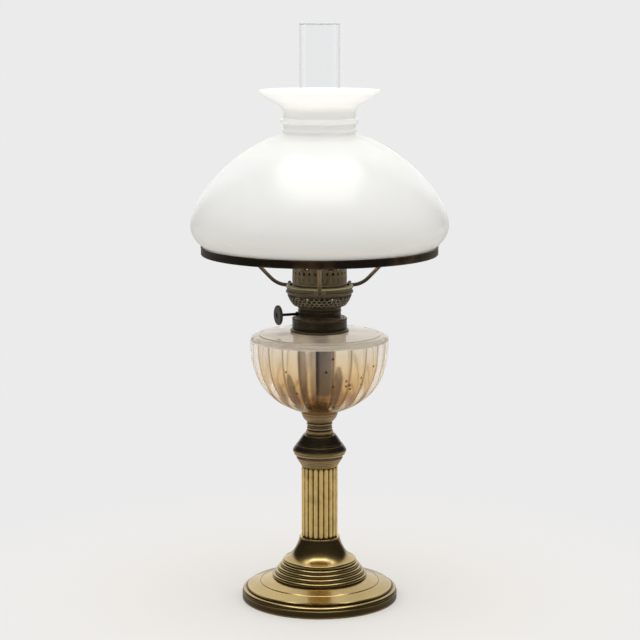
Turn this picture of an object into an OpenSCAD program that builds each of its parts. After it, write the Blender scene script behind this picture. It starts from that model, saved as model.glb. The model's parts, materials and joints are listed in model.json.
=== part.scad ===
// Kerosene table lamp: turned brass foot and reeded column, pressed glass font,
// round-wick burner with a perforated gallery, glass chimney and opal shade.
// Millimetres, +Z up, origin at the centre of the foot's underside.
// The wick shaft lies along -X, beside the axis on the +Y side.

/* [Foot] */
// Outer diameter of the foot
foot_d = 159; // [150:1:190]
// Height of the foot, from the table to the bell's seat
foot_h = 39; // [37:0.5:44]
// Height of the upright rim band
foot_band_h = 8; // [6:0.5:9]
// Width of the moulded border inside the rim
foot_border_w = 6.5; // [5.5:0.5:9]
// Wall thickness of the foot
foot_wall = 2.4; // [1.8:0.1:2.8]
// Thickness of the foot's top web under the bell
foot_web = 3; // [2:0.5:4]
// Height at which the sloping top meets the beads
foot_slope_h = 23; // [22:0.5:26]
// Diameter over the lowest bead ring
bead_stack_d = 97; // [93:1:104]
// Number of bead rings
bead_count = 4; // [3:1:5]
// Section radius of one bead ring
bead_r = 2.4; // [2:0.1:2.6]
// Diameter of the engraved ring line
ring_line_d = 121.6; // [112:0.2:132]

/* [Ballast and tie rod] */
// Gap between the ballast disc and the foot's rim
weight_gap = 14; // [12:1:24]
// Thickness of the ballast disc
weight_disc_h = 7; // [5:0.5:8]
// Diameter of the ballast hub
weight_hub_d = 36; // [32:1:44]
// Height of the ballast's underside above the table
weight_z = 6; // [4:0.5:8]
// Diameter of the tie rod
rod_d = 8; // [6:0.5:9]
// Width of the rod's nut across its flats
nut_af = 13; // [12:0.5:16]
// Height of the rod's nut
nut_h = 6.5; // [5:0.5:7]
// Diameter of the washer
washer_d = 22; // [18:1:24]
// Thickness of the washer
washer_h = 1.6; // [1:0.2:2.4]

/* [Bell and column] */
// Diameter of the bell's lower edge
bell_d = 74.6; // [72:0.2:80]
// Height of the bell
bell_h = 26; // [23:0.5:32]
// Diameter of the bell's top
bell_top_d = 40.6; // [39.8:0.2:44]
// Radius of the cushion above the bell's lower edge
bell_cushion_r = 1.8; // [1.2:0.2:3]
// Slope of the bell where it leaves the cushion
bell_low_angle = 66; // [55:1:72]
// Slope of the bell under its rim
bell_high_angle = 19; // [8:1:24]
// Wall thickness of the bell
bell_wall = 1.4; // [1:0.1:2]
// Diameter over the column's reeds
column_d = 37; // [34:0.5:38]
// Height of the column
column_h = 74; // [60:1:120]
// Bore of the column
column_bore_d = 26; // [20:0.5:28]
// Number of reeds round the column
reed_count = 20; // [16:1:24]
// Radius of one reed
reed_r = 2.5; // [2.2:0.1:2.8]
// Plain core left beyond each reed's rounded end
reed_stop = 0.4; // [0:0.1:2]

/* [Capital, knop and cup] */
// Diameter over the capital's bead
capital_d = 52.4; // [50:0.4:58]
// Height of the capital
capital_h = 14.8; // [14:0.2:20]
// Section radius of the capital's bead
capital_bead_r = 1.5; // [1.2:0.1:1.8]
// Number of fine rings on the capital's flare
capital_ring_count = 4; // [3:1:5]
// Section radius of a fine ring
capital_ring_r = 1.2; // [1:0.1:1.4]
// Diameter of the knop's lower edge
knop_d = 54.5; // [50:0.5:60]
// Height of the knop
knop_h = 19.6; // [16:0.4:24]
// Height of the upright band at the knop's lower edge
knop_band_h = 2.2; // [1:0.2:3]
// Width of the ledge at the knop's top
knop_ledge_w = 2.4; // [1.6:0.2:3]
// Diameter of the neck under the cup
neck_d = 25; // [24:0.5:28]
// Diameter over the cup's rim
cup_d = 37.4; // [36:0.2:40]
// Height of the neck and cup
cup_h = 21.6; // [20:0.4:26]
// Height of the cup part above the neck
cup_flare_h = 11; // [10:0.5:12]
// Depth of the socket for the glass peg
cup_socket_h = 7.4; // [6:0.2:8]

/* [Font] */
// Largest diameter of the glass font
font_d = 140.8; // [120:0.8:160]
// Height of the font from the cup's rim to the collar's lower edge
font_h = 83.2; // [76:0.5:96]
// Height of the rounded shoulder below the collar's lower edge
font_shoulder_h = 10; // [8:0.5:12]
// Glass thickness of the font
font_wall = 3.2; // [2.8:0.2:4.4]
// Thickness of the font's floor
font_floor = 6; // [5:0.5:8]
// Number of pressed lobes round the font
lobe_count = 24; // [20:1:28]
// Depth of the valleys between the lobes
lobe_depth = 1.2; // [0.8:0.1:2]
// Turn of the lobes about the axis
lobe_turn = 4.5; // [0:0.5:15]
// Bore of the font's neck
font_bore_d = 35.4; // [35:0.2:37]
// Wall of the font's neck
font_neck_wall = 3.7; // [3:0.1:4.2]
// Thickness of the plaster round the glass peg
plaster_t = 0.6; // [0.4:0.1:1]

/* [Collar] */
// Diameter of the collar's lower flange
collar_flange_d = 59.8; // [59:0.2:66]
// Diameter of the collar's band
collar_d = 55.2; // [55:0.2:58]
// Height of the collar
collar_h = 14.4; // [13:0.2:18]
// Section radius of the roll on the collar's top edge
collar_roll_r = 1.7; // [1.4:0.1:1.8]
// Sheet thickness of the collar
collar_wall = 1.2; // [0.8:0.1:1.6]
// Diameter of the burner's screw thread
thread_d = 31.6; // [31:0.2:32]
// Depth of the collar's floor below its rolled edge
collar_sink = 3.6; // [3:0.2:4.4]

/* [Burner] */
// Outer diameter of the burner's waist
waist_d = 43.2; // [42:0.2:45]
// Diameter of the flange under the waist
waist_flange_d = 48; // [46.4:0.2:48]
// Height of the burner base above the collar's floor
waist_h = 13.9; // [13:0.1:18]
// Sheet thickness of the burner
burner_wall = 1.1; // [0.8:0.1:1.4]
// Diameter of the basket at its top
basket_d = 63.6; // [62:0.2:66]
// Height of the perforated basket
basket_h = 14.6; // [13:0.2:18]
// Number of holes in one row of the basket
basket_holes = 44; // [30:2:48]
// Number of rows of holes
basket_rows = 3; // [2:1:3]
// Diameter of one hole of the basket
basket_hole_d = 2.2; // [1.6:0.1:2.6]
// Section radius of the basket's rolled rim
rim_r = 1.4; // [1.2:0.1:1.6]
// Outer diameter of the wick
wick_d = 19; // [17:0.5:20]
// Thickness of the wick
wick_t = 2.3; // [1.8:0.1:2.6]
// Wall of the wick tube and the air tube
tube_wall = 0.7; // [0.5:0.1:0.9]
// Height of the wick tube above the basket's rim
wick_tube_rise = 29.6; // [24:0.2:34]
// Height of the wick above its tube
wick_show = 1.2; // [0.6:0.2:2]
// Height of the wick's lower end above the font's floor
wick_hang = 10; // [10:0.5:20]
// Width of the air duct through the wick's slit
duct_w = 4.8; // [4:0.2:6]
// Height of the air duct
duct_h = 8; // [6:0.5:9]

/* [Wick drive] */
// Diameter of the wick shaft
shaft_d = 2.8; // [2.4:0.1:3]
// Height of the shaft above the collar's floor
shaft_h = 5.6; // [5.4:0.1:7]
// Distance of the knob's outer face from the lamp's axis
knob_reach = 41; // [38:0.5:52]
// Diameter of the knob
knob_d = 20.2; // [16:0.2:22]
// Thickness of the knob
knob_t = 2.8; // [2:0.1:4]
// Number of milled notches on the knob's edge
knob_notches = 36; // [24:2:48]
// Tip diameter of the spur wheels
spur_d = 7.2; // [6.4:0.2:7.6]
// Number of teeth on a spur wheel
spur_teeth = 12; // [10:1:14]
// Thickness of one spur wheel
spur_t = 1; // [0.8:0.1:1.2]

/* [Gallery] */
// Outer diameter of the gallery's crown
gallery_d = 54.8; // [54.6:0.1:56]
// Sheet thickness of the gallery
gallery_wall = 1; // [0.8:0.1:1.2]
// Height of the gallery
gallery_h = 37; // [32:0.5:42]
// Height of the windows above the gallery's foot
window_z = 22; // [18:0.5:24]
// Number of fingers and of windows between them
finger_count = 14; // [10:1:16]
// Width of one window
window_w = 6.2; // [4:0.2:7]

/* [Shade holder] */
// Bore of the holder's hoop
hoop_bore_d = 61; // [60.6:0.2:62]
// Outer diameter of the hoop
hoop_d = 66.8; // [66:0.2:68]
// Height of the hoop
hoop_h = 5; // [4:0.2:6]
// Diameter of the arms
arm_d = 3.8; // [3:0.1:4.2]
// Angle of the straight stretch of an arm
arm_angle = 39; // [36:0.5:41]
// Radius of an arm's lower bend
arm_low_bend = 28; // [24:0.5:30]
// Radius of an arm's upper bend
arm_high_bend = 52; // [46:1:56]
// Length of an arm's lower stub
arm_stub = 4; // [3:0.5:6]
// Height of the shade ring above the hoop's foot
holder_rise = 36.2; // [33:0.2:44]
// Turn of the arms about the axis
holder_turn = 7; // [0:1:30]
// Outer diameter of the shade ring
shade_ring_d = 238.4; // [236:0.4:246]
// Height of the shade ring's band
shade_ring_h = 8.2; // [7:0.2:10]
// Sheet thickness of the shade ring
shade_ring_wall = 1.1; // [0.9:0.1:1.3]
// Width of the ledge that carries the shade
ledge_w = 9; // [8:0.5:10]

/* [Shade] */
// Gap between the shade's lip and the band of the shade ring
shade_lip_clear = 0.8; // [0.4:0.1:1.6]
// Largest diameter of the shade
shade_d = 259; // [254:1:270]
// Height of the shade
shade_h = 162.2; // [156:0.2:170]
// Diameter of the shade's neck
shade_neck_d = 73.2; // [70:0.4:78]
// Diameter of the shade's flared mouth
shade_mouth_d = 120.4; // [110:0.4:128]
// Glass thickness of the shade
shade_wall = 3; // [2.6:0.1:3.4]

/* [Chimney] */
// Diameter of the chimney's base
chimney_base_d = 52; // [51.6:0.1:52]
// Diameter of the chimney's waist
chimney_waist_d = 35; // [33:0.5:38]
// Diameter of the chimney's straight top
chimney_d = 40.6; // [39:0.2:44]
// Length of the chimney
chimney_h = 263.2; // [230:0.2:290]
// Glass thickness of the chimney
chimney_wall = 1.9; // [1.6:0.1:2.2]

/* [Fits] */
// Gap between pieces that are set together
set_clear = 0.05; // [0.02:0.01:0.08]
// Radial clearance of the turning shaft
run_clear = 0.05; // [0.03:0.01:0.08]
// Gap between pieces that slide or lift off
slide_clear = 0.3; // [0.2:0.05:0.4]

/* [Hidden] */
$fn = 96;

// Colours of the pieces
brass = "#c9a04a";
dark_brass = "#5d4a30";
steel = "#8a8d90";
iron = "#4a4a4c";
plaster = "#e6e1d6";
font_glass = "#d9c08a";
clear_glass = "#dfe8e8";
opal_glass = "#f3efe6";
cotton = "#8b7a66";

// Points along a cubic curve with four guide points
function curve(a, b, c, d, steps) = [
    for (i = [0 : steps])
        let (t = i / steps, s = 1 - t)
        s * s * s * a + 3 * s * s * t * b + 3 * s * t * t * c + t * t * t * d
];
// Points along an arc
function arc(centre, radius, from, to, steps) = [
    for (i = [0 : steps])
        let (a = from + (to - from) * i / steps)
        centre + radius * [cos(a), sin(a)]
];
function back(list) = [for (i = [len(list) - 1 : -1 : 0]) list[i]];
function mix(a, b, t) = a + (b - a) * t;
// Outline moved sideways by a distance, to the left of its direction when positive
function shifted(path, distance) = [
    for (i = [0 : len(path) - 1])
        let (
            before = path[max(i - 1, 0)],
            after = path[min(i + 1, len(path) - 1)],
            along = (after - before) / norm(after - before)
        )
        path[i] + distance * [-along.y, along.x]
];

// Side faces between rows of n points each, all round, two triangles to a patch
function skin_faces(rows, n) = [
    for (i = [0 : rows - 2], k = [0 : n - 1], half = [0, 1])
        let (a = i * n + k, b = i * n + (k + 1) % n)
        half == 0 ? [a, a + n, b + n] : [a, b + n, b]
];
function flipped(faces) = [for (f = faces) back(f)];

// Radii
foot_r = foot_d / 2;
bell_r = bell_d / 2;
rod_r = rod_d / 2;
font_r = font_d / 2;
cup_r = cup_d / 2;
neck_r = neck_d / 2;
wick_r = wick_d / 2;

// Heights of the stack
z_bell = foot_h;
z_column = z_bell + bell_h;
z_capital = z_column + column_h;
z_knop = z_capital + capital_h;
z_cup = z_knop + knop_h;
z_font = z_cup + cup_h;
z_collar = z_font + font_h;
z_collar_top = z_collar + collar_h;
z_floor = z_collar_top - collar_sink;
z_waist = z_floor + slide_clear;
z_basket = z_floor + waist_h;
z_rim = z_basket + basket_h;
rim_deck_h = 2 * rim_r - 0.2;
z_deck = z_rim + rim_deck_h;
z_hoop = z_rim + 2 * rim_r + slide_clear;
z_gallery = z_deck + set_clear;
z_ring = z_hoop + holder_rise;
z_ledge = z_ring + shade_ring_wall;
z_shade = z_ledge + slide_clear;

// Foot: the rim, the moulded border and the slope up to the beads
slope_r = foot_r - foot_border_w;
slope_z = foot_band_h + foot_border_w;
bead_low = [bead_stack_d / 2 - bead_r, foot_slope_h + 0.5 * bead_r];
bead_top = [bell_r + 0.3, foot_h - 1.5 * bead_r];
function slope_at(r) = mix(slope_z, foot_slope_h, (slope_r - r) / (slope_r - bead_low.x));
ring_line_r = ring_line_d / 2;
ring_line_w = 0.6;
ring_line_deep = 0.5;
border_r = 2.9;
foot_outline = concat(
    [[0, 0], [foot_r, 0], [foot_r, foot_band_h], [foot_r - 0.9, foot_band_h + 0.3]],
    arc([foot_r - 0.5 - border_r, foot_band_h + 0.8], border_r, 0, 90, 8),
    [[slope_r + 1.4, foot_band_h + 0.8 + border_r], [slope_r + 0.9, slope_z - 0.6]],
    [[slope_r, slope_z]],
    [for (s = [1, 0, -1])
        let (r = ring_line_r + s * ring_line_w)
        [r, slope_at(r) - (s == 0 ? ring_line_deep : 0)]],
    [[bead_low.x, foot_slope_h], [bead_top.x, foot_h], [0, foot_h]]
);
foot_drop = 1.2 * foot_wall;
foot_hollow = [
    [0, -1], [foot_r - foot_wall, -1], [foot_r - foot_wall, foot_band_h - 1],
    [slope_r - 1, slope_at(slope_r - 1) - foot_drop],
    [bead_low.x - 1, slope_at(bead_low.x - 1) - foot_drop],
    [bead_top.x - bead_r - 0.3, foot_h - foot_web], [0, foot_h - foot_web]
];
rod_hole_r = rod_r + 0.4;
z_nut_seat = weight_z + washer_h + nut_h + 1;
nut_recess_r = washer_d / 2 + 1.5;

module foot() {
    color(brass)
    rotate_extrude()
    difference() {
        union() {
            polygon(foot_outline);
            for (i = [0 : bead_count - 1])
                translate(mix(bead_low, bead_top, i / (bead_count - 1)))
                circle(bead_r);
        }
        polygon(foot_hollow);
        square([rod_hole_r, foot_h + 1]);
    }
}

// Ballast disc with a hub that the rod clamps against the foot's web
module foot_weight() {
    edge_r = foot_r - foot_wall - weight_gap;
    hub_r = weight_hub_d / 2;
    top = weight_z + weight_disc_h;
    color(iron)
    rotate_extrude()
    polygon([
        [nut_recess_r, weight_z], [edge_r - 1, weight_z], [edge_r, weight_z + 1], [edge_r, top - 1],
        [edge_r - 1, top], [hub_r + 3, top], [hub_r, top + 3], [hub_r, foot_h - foot_web],
        [rod_hole_r, foot_h - foot_web], [rod_hole_r, z_nut_seat], [nut_recess_r, z_nut_seat]
    ]);
}

rod_depth = cup_h - cup_socket_h - 3;
module tie_rod() {
    low = z_nut_seat - washer_h - nut_h - 2.5;
    color(steel)
    translate([0, 0, low])
    cylinder(r = rod_r, h = z_cup + rod_depth - low);
}

module rod_washer() {
    color(steel)
    translate([0, 0, z_nut_seat - washer_h])
    difference() {
        cylinder(d = washer_d, h = washer_h);
        translate([0, 0, -1]) cylinder(r = rod_hole_r, h = washer_h + 2);
    }
}

module rod_nut() {
    color(steel)
    translate([0, 0, z_nut_seat - washer_h - nut_h])
    difference() {
        cylinder(d = nut_af / cos(30), h = nut_h, $fn = 6);
        translate([0, 0, -1]) cylinder(r = rod_r + set_clear, h = nut_h + 2);
    }
}

// Bell: a small cushion that runs tangentially into one concave sweep
bell_top_r = bell_top_d / 2;
bell_lip = 1.6;
cushion_at = [bell_r - bell_cushion_r, z_bell + 1.2];
sweep_low = cushion_at + bell_cushion_r * [cos(bell_low_angle), sin(bell_low_angle)];
sweep_top = [bell_top_r, z_column - bell_lip];
sweep_span = norm(sweep_top - sweep_low);
bell_sweep = curve(
    sweep_low,
    sweep_low + 0.3 * sweep_span * [-sin(bell_low_angle), cos(bell_low_angle)],
    sweep_top + 0.53 * sweep_span * [sin(bell_high_angle), -cos(bell_high_angle)],
    sweep_top, 18
);
bell_inside = shifted(bell_sweep, bell_wall);
module foot_bell() {
    rim_bead_r = 0.9;
    color(brass)
    rotate_extrude()
    union() {
        polygon(concat(
            [[bell_r, z_bell]],
            arc(cushion_at, bell_cushion_r, 0, bell_low_angle, 6),
            bell_sweep,
            [[bell_top_r, z_column], [rod_hole_r, z_column], [rod_hole_r, z_column - bell_lip]],
            back(bell_inside),
            [[bell_inside[0].x, z_bell]]
        ));
        translate([bell_top_r - 0.3, z_column - rim_bead_r]) circle(rim_bead_r);
    }
}

// Reeds with rounded ends round a plain tube
module column() {
    core_r = column_d / 2 - reed_r;
    reed_low = reed_stop + reed_r;
    reed_run = column_h - 2 * reed_low;
    color(brass)
    translate([0, 0, z_column])
    difference() {
        union() {
            cylinder(r = core_r + 0.3, h = column_h);
            for (i = [0 : reed_count - 1])
                rotate(360 * i / reed_count)
                translate([core_r, 0, reed_low]) {
                    cylinder(r = reed_r, h = reed_run, $fn = 32);
                    sphere(reed_r, $fn = 32);
                    translate([0, 0, reed_run]) sphere(reed_r, $fn = 32);
                }
        }
        translate([0, 0, -1]) cylinder(d = column_bore_d, h = column_h + 2);
    }
}

// Capital: fine rings up a flare, closed by one bright bead
module capital() {
    seat_r = column_d / 2 + 0.2;
    ring_low = [seat_r - 0.1, z_capital + 2.6];
    ring_top = [capital_d / 2 - 3.8, z_knop - 6.4];
    bead_at = [capital_d / 2 - capital_bead_r, z_knop - capital_bead_r - 0.05];
    color(brass)
    rotate_extrude()
    union() {
        polygon([
            [column_bore_d / 2, z_capital], [seat_r, z_capital], [seat_r, z_capital + 1],
            ring_low, ring_top, [bead_at.x - 0.6, bead_at.y - capital_bead_r],
            [bead_at.x, bead_at.y], [bead_at.x, z_knop], [column_bore_d / 2, z_knop]
        ]);
        for (i = [0 : capital_ring_count - 1])
            translate(mix(ring_low, ring_top, i / (capital_ring_count - 1)))
            circle(capital_ring_r, $fn = 48);
        translate(bead_at) circle(capital_bead_r);
    }
}

// Knop: an upright band, a cone with one step, and a ledge under the neck
module knop() {
    step = 0.5;
    low_r = knop_d / 2;
    top_r = neck_r + 1.8;
    band_top = [low_r, z_knop + knop_band_h];
    ledge = [top_r + knop_ledge_w, z_cup - 2.2];
    mid = mix(band_top, ledge, 0.39);
    color(dark_brass)
    rotate_extrude()
    polygon([
        [rod_hole_r, z_knop], [low_r - 0.4, z_knop], [low_r, z_knop + 0.4], band_top,
        [mid.x + step, mid.y - step], [mid.x - step, mid.y - step], [mid.x - step, mid.y + step],
        ledge, [ledge.x - 0.3, ledge.y + 0.5], [top_r, ledge.y + 0.9], [top_r, z_cup], [rod_hole_r, z_cup]
    ]);
}

// Neck and cup: ring beads on the neck and a socket for the glass peg
cup_floor_r = neck_r - 1.5;
cup_mouth_r = cup_r - 3.6;
z_socket = z_font - cup_socket_h;
module font_cup() {
    z_flare = z_font - cup_flare_h;
    rim_at = [cup_r - 1.1, z_font - 1.1];
    color(dark_brass)
    rotate_extrude()
    difference() {
        union() {
            polygon(concat(
                [[0, z_cup], [neck_r, z_cup], [neck_r, z_flare]],
                curve(
                    [neck_r, z_flare], [neck_r + 1, z_flare + 2.4],
                    [cup_r - 1.4, z_flare + 3.6], [cup_r - 0.6, z_font - 2.2], 8
                ),
                [[cup_r - 0.8, z_font - 0.4], [cup_r - 1.1, z_font], [0, z_font]]
            ));
            translate([neck_r + 0.4, z_cup + 1.2]) circle(1.2);
            translate([neck_r - 0.1, z_cup + 4.8]) circle(0.8);
            translate([neck_r - 0.1, z_flare - 1.2]) circle(0.9);
            translate(rim_at) circle(1.1);
        }
        polygon([
            [0, z_socket], [cup_floor_r, z_socket], [cup_mouth_r, z_font],
            [cup_mouth_r, z_font + 1], [0, z_font + 1]
        ]);
        square([rod_r + set_clear, z_cup + rod_depth]);
    }
}

// Plaster cone between the cup's socket and the glass peg
function socket_cone(inset) = [
    [cup_floor_r - inset, z_socket + inset], [cup_mouth_r - inset, z_font]
];
module peg_plaster() {
    outer = socket_cone(set_clear);
    inner = socket_cone(set_clear + plaster_t);
    color(plaster)
    rotate_extrude()
    polygon([[0, outer[0].y], outer[0], outer[1], inner[1], inner[0], [0, inner[0].y]]);
}

// Font: one closed skin, lobed outside and smooth inside
lobe_steps = 4;
ring_points = lobe_count * lobe_steps;
z_shoulder = z_collar - font_shoulder_h;
z_bowl = z_font + 0.2;
font_neck_r = font_bore_d / 2 + font_neck_wall;
z_glass_top = z_floor - collar_wall - set_clear;
peg = socket_cone(2 * set_clear + plaster_t);
shoulder_r = font_r - 8.2;
font_in_r = font_r - font_wall;
bowl_h = z_shoulder - z_bowl;
bowl_out = curve(
    [cup_r - 0.3, z_bowl], [0.495 * font_r, z_bowl + 6.4],
    [font_r, z_bowl + 0.223 * bowl_h], [font_r, z_shoulder], 16
);
bowl_in = curve(
    [cup_r - 6, z_font + font_floor], [0.63 * font_in_r, z_font + font_floor + 0.6],
    [font_in_r, z_bowl + 0.38 * bowl_h], [font_in_r, z_shoulder - 1], 12
);
shoulder_out = curve(
    [font_r, z_shoulder], [font_r, z_shoulder + 4.6],
    [font_r - 2.6, z_shoulder + 6.2], [shoulder_r, z_shoulder + 6.4], 5
);
shoulder_in = curve(
    [font_in_r, z_shoulder - 1], [font_in_r, z_shoulder + 1.4],
    [shoulder_r, z_shoulder + 2.8], [shoulder_r - 4, z_shoulder + 3], 4
);
// Each row is a radius, a height and the share of the lobes' depth
font_rows = concat(
    [for (p = peg) [p.x, p.y, 0]],
    [for (p = bowl_out) [p.x, p.y, min(1, pow(p.x / font_r * 1.25, 2))]],
    [for (i = [1 : 5]) [shoulder_out[i].x, shoulder_out[i].y, i == 1 ? 0.8 : i == 2 ? 0.25 : 0]],
    [[shoulder_r - 0.6, z_shoulder + 7.4, 0], [shoulder_r - 2, z_shoulder + 7.2, 0]],
    [[font_neck_r + 1.6, z_collar - 0.2, 0], [font_neck_r, z_collar + 1.2, 0]],
    [[font_neck_r, z_glass_top, 0], [font_bore_d / 2, z_glass_top, 0], [font_bore_d / 2, z_collar - 2, 0]],
    [for (i = [4 : -1 : 1]) [shoulder_in[i].x, shoulder_in[i].y, 0]],
    [for (p = back(bowl_in)) [p.x, p.y, 0]]
);
function lobe_point(row, k) =
    let (
        a = 360 * k / ring_points + lobe_turn,
        u = (k % lobe_steps) / lobe_steps,
        r = row[0] - lobe_depth * row[2] * pow(2 * u - 1, 2)
    )
    [r * cos(a), r * sin(a), row[1]];
module font() {
    rows = len(font_rows);
    n = ring_points;
    color(font_glass, 0.6)
    polyhedron(
        points = [for (row = font_rows, k = [0 : n - 1]) lobe_point(row, k)],
        faces = concat(
            [[for (k = [0 : n - 1]) k]],
            skin_faces(rows, n),
            [[for (k = [n - 1 : -1 : 0]) (rows - 1) * n + k]]
        ),
        convexity = 8
    );
}

// Collar: a skirt filled with plaster, a sunk floor and a threaded sleeve
collar_r = collar_d / 2;
skirt_r = collar_r - collar_wall;
sleeve_r = thread_d / 2 + slide_clear;
z_plaster = z_collar + 1.6;
module collar_plaster() {
    color(plaster)
    rotate_extrude()
    polygon([
        [font_neck_r + set_clear, z_plaster], [skirt_r - set_clear, z_plaster],
        [skirt_r - set_clear, z_floor - collar_wall - set_clear],
        [font_neck_r + set_clear, z_floor - collar_wall - set_clear]
    ]);
}
module font_collar() {
    flange_r = collar_flange_d / 2;
    roll_at = [collar_r - collar_roll_r + 0.3, z_collar_top - collar_roll_r];
    color(dark_brass)
    rotate_extrude()
    union() {
        polygon([
            [skirt_r, z_collar - 0.2], [flange_r - 0.6, z_collar - 0.2], [flange_r, z_collar + 0.6],
            [flange_r - 0.4, z_collar + 2], [collar_r, z_collar + 2.8], [collar_r, roll_at.y],
            [skirt_r, roll_at.y], [skirt_r, z_floor], [sleeve_r, z_floor],
            [sleeve_r, z_collar + 2], [sleeve_r + collar_wall, z_collar + 2],
            [sleeve_r + collar_wall, z_floor - collar_wall], [skirt_r, z_floor - collar_wall]
        ]);
        translate(roll_at) circle(collar_roll_r);
    }
}

// Burner: thread ring, waist with its spigot, perforated basket and rolled rim
spigot_r = thread_d / 2 - burner_wall - run_clear;
module burner_thread_ring() {
    low = z_collar + 3;
    color(dark_brass)
    translate([0, 0, low])
    difference() {
        cylinder(d = thread_d, h = z_waist - set_clear - low);
        translate([0, 0, -1]) cylinder(r = spigot_r + run_clear, h = collar_h);
    }
}

tube_r = wick_r + slide_clear + tube_wall;
shaft_y = wick_r + spur_d / 2 + slide_clear;
z_shaft = z_floor + shaft_h;
bush_r = shaft_d / 2 + 1.1;
bush_out = sqrt(pow(waist_d / 2, 2) - pow(shaft_y, 2)) + 3;
bush_in = bush_out - 7;
waist_r = waist_d / 2;
module burner_base() {
    flange_r = waist_flange_d / 2;
    plate = z_waist + 1;
    spigot_low = z_collar + 5;
    color(dark_brass)
    difference() {
        rotate_extrude()
        union() {
            polygon([
                [spigot_r - 1, spigot_low], [spigot_r, spigot_low], [spigot_r, z_waist], [flange_r, z_waist],
                [flange_r, z_waist + 3], [flange_r - 1.6, z_waist + 4.4], [waist_r, z_waist + 5.6],
                [waist_r, z_basket - 1], [waist_r + 0.6, z_basket], [waist_r - burner_wall, z_basket],
                [waist_r - burner_wall, plate], [tube_r + set_clear, plate],
                [tube_r + set_clear, z_waist], [spigot_r - 1, z_waist]
            ]);
            translate([waist_r - 0.3, z_basket - 3.4]) circle(0.8);
        }
        translate([-bush_in, shaft_y, z_shaft])
        rotate([0, -90, 0])
        cylinder(r = bush_r + set_clear, h = waist_d);
    }
}

basket_r = basket_d / 2;
basket_steps = 12;
basket_out = curve(
    [waist_r + 0.2, z_basket], [waist_r + 3.4, z_basket + 1.4],
    [basket_r - 1.6, z_basket + 0.45 * basket_h], [basket_r, z_rim], basket_steps
);
// Place on the basket's outline, by its share of the height
function basket_point(t) = basket_out[round(basket_steps * t)];
module air_basket() {
    pitch = 360 / basket_holes;
    color(dark_brass)
    difference() {
        rotate_extrude()
        polygon(concat(
            basket_out, [[basket_r - burner_wall, z_rim]], back(shifted(basket_out, burner_wall))
        ));
        for (row = [0 : basket_rows - 1])
            let (p = basket_point(mix(0.46, 0.86, row / (basket_rows - 1))))
            for (i = [0 : basket_holes - 1])
                rotate(pitch * (i + row / 2))
                translate([p.x - 4, 0, p.y])
                rotate([0, 90, 0])
                cylinder(d = basket_hole_d, h = 8);
    }
}

rim_centre_r = basket_r + 0.9;
deck_bore_r = gallery_d / 2 - 3.4;
module basket_rim() {
    color(brass)
    rotate_extrude()
    union() {
        polygon([
            [basket_r - burner_wall, z_rim], [rim_centre_r, z_rim], [rim_centre_r, z_deck],
            [deck_bore_r, z_deck], [deck_bore_r, z_deck - 1], [basket_r - burner_wall, z_deck - 1]
        ]);
        translate([rim_centre_r, z_rim + rim_r]) circle(rim_r);
    }
}

// Wick tube with a window for the spur wheels and one for the air duct
z_tube_top = z_deck + wick_tube_rise;
z_tube_low = z_collar + 5.4;
z_duct = z_basket + 2.6;
spur_at = spur_t / 2 + 1.1;
module wick_tube() {
    window = spur_at + spur_t;
    color(dark_brass)
    difference() {
        translate([0, 0, z_tube_low]) cylinder(r = tube_r, h = z_tube_top - z_tube_low);
        translate([0, 0, z_tube_low - 1]) cylinder(r = tube_r - tube_wall, h = z_tube_top - z_tube_low + 2);
        translate([-window, 0, z_shaft - spur_d / 2 - 0.4]) cube([2 * window, tube_r + 1, spur_d + 0.8]);
        translate([-duct_w / 2 - set_clear, -tube_r - 1, z_duct - set_clear])
        cube([duct_w + 2 * set_clear, tube_r + 1, duct_h + 2 * set_clear]);
    }
}

// Air tube inside the wick, fed through a side duct
core_r = wick_r - wick_t - slide_clear;
module air_tube() {
    low = z_duct - 1;
    color(dark_brass)
    difference() {
        union() {
            translate([0, 0, low]) cylinder(r = core_r, h = z_tube_top - 0.5 - low);
            translate([-duct_w / 2, -tube_r, z_duct]) cube([duct_w, tube_r, duct_h]);
        }
        translate([0, 0, low + 1]) cylinder(r = core_r - tube_wall, h = z_tube_top);
        translate([-duct_w / 2 + tube_wall, -tube_r - 1, z_duct + tube_wall])
        cube([duct_w - 2 * tube_wall, tube_r + 1, duct_h - 2 * tube_wall]);
    }
}

module shaft_bush() {
    color(dark_brass)
    translate([-bush_in, shaft_y, z_shaft])
    rotate([0, -90, 0])
    difference() {
        cylinder(r = bush_r, h = bush_out - bush_in);
        translate([0, 0, -1]) cylinder(r = shaft_d / 2 + run_clear, h = bush_out - bush_in + 2);
    }
}

module wick_shaft() {
    inner_end = spur_at + spur_t + 1.5;
    color(steel)
    translate([inner_end, shaft_y, z_shaft])
    rotate([0, -90, 0])
    cylinder(d = shaft_d, h = knob_reach - 0.6 + inner_end);
}

// Milled knob with a dished outer face and a hub towards the lamp
module wick_knob() {
    notch_r = 0.45;
    color(dark_brass)
    translate([-knob_reach + knob_t, shaft_y, z_shaft])
    rotate([0, -90, 0])
    difference() {
        union() {
            linear_extrude(knob_t)
            difference() {
                circle(d = knob_d);
                for (i = [0 : knob_notches - 1])
                    rotate(360 * i / knob_notches)
                    translate([knob_d / 2 + 0.1, 0])
                    circle(notch_r, $fn = 24);
            }
            translate([0, 0, -2.4]) cylinder(d = shaft_d + 3, h = 2.4);
        }
        rotate_extrude()
        polygon([
            [shaft_d / 2 + 1.2, knob_t + 1], [knob_d / 2 - 1.6, knob_t + 1],
            [knob_d / 2 - 2.2, knob_t - 0.9], [shaft_d / 2 + 1.8, knob_t - 0.9]
        ]);
        translate([0, 0, -3]) cylinder(r = shaft_d / 2 + set_clear, h = knob_t + 2.4);
    }
}

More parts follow.
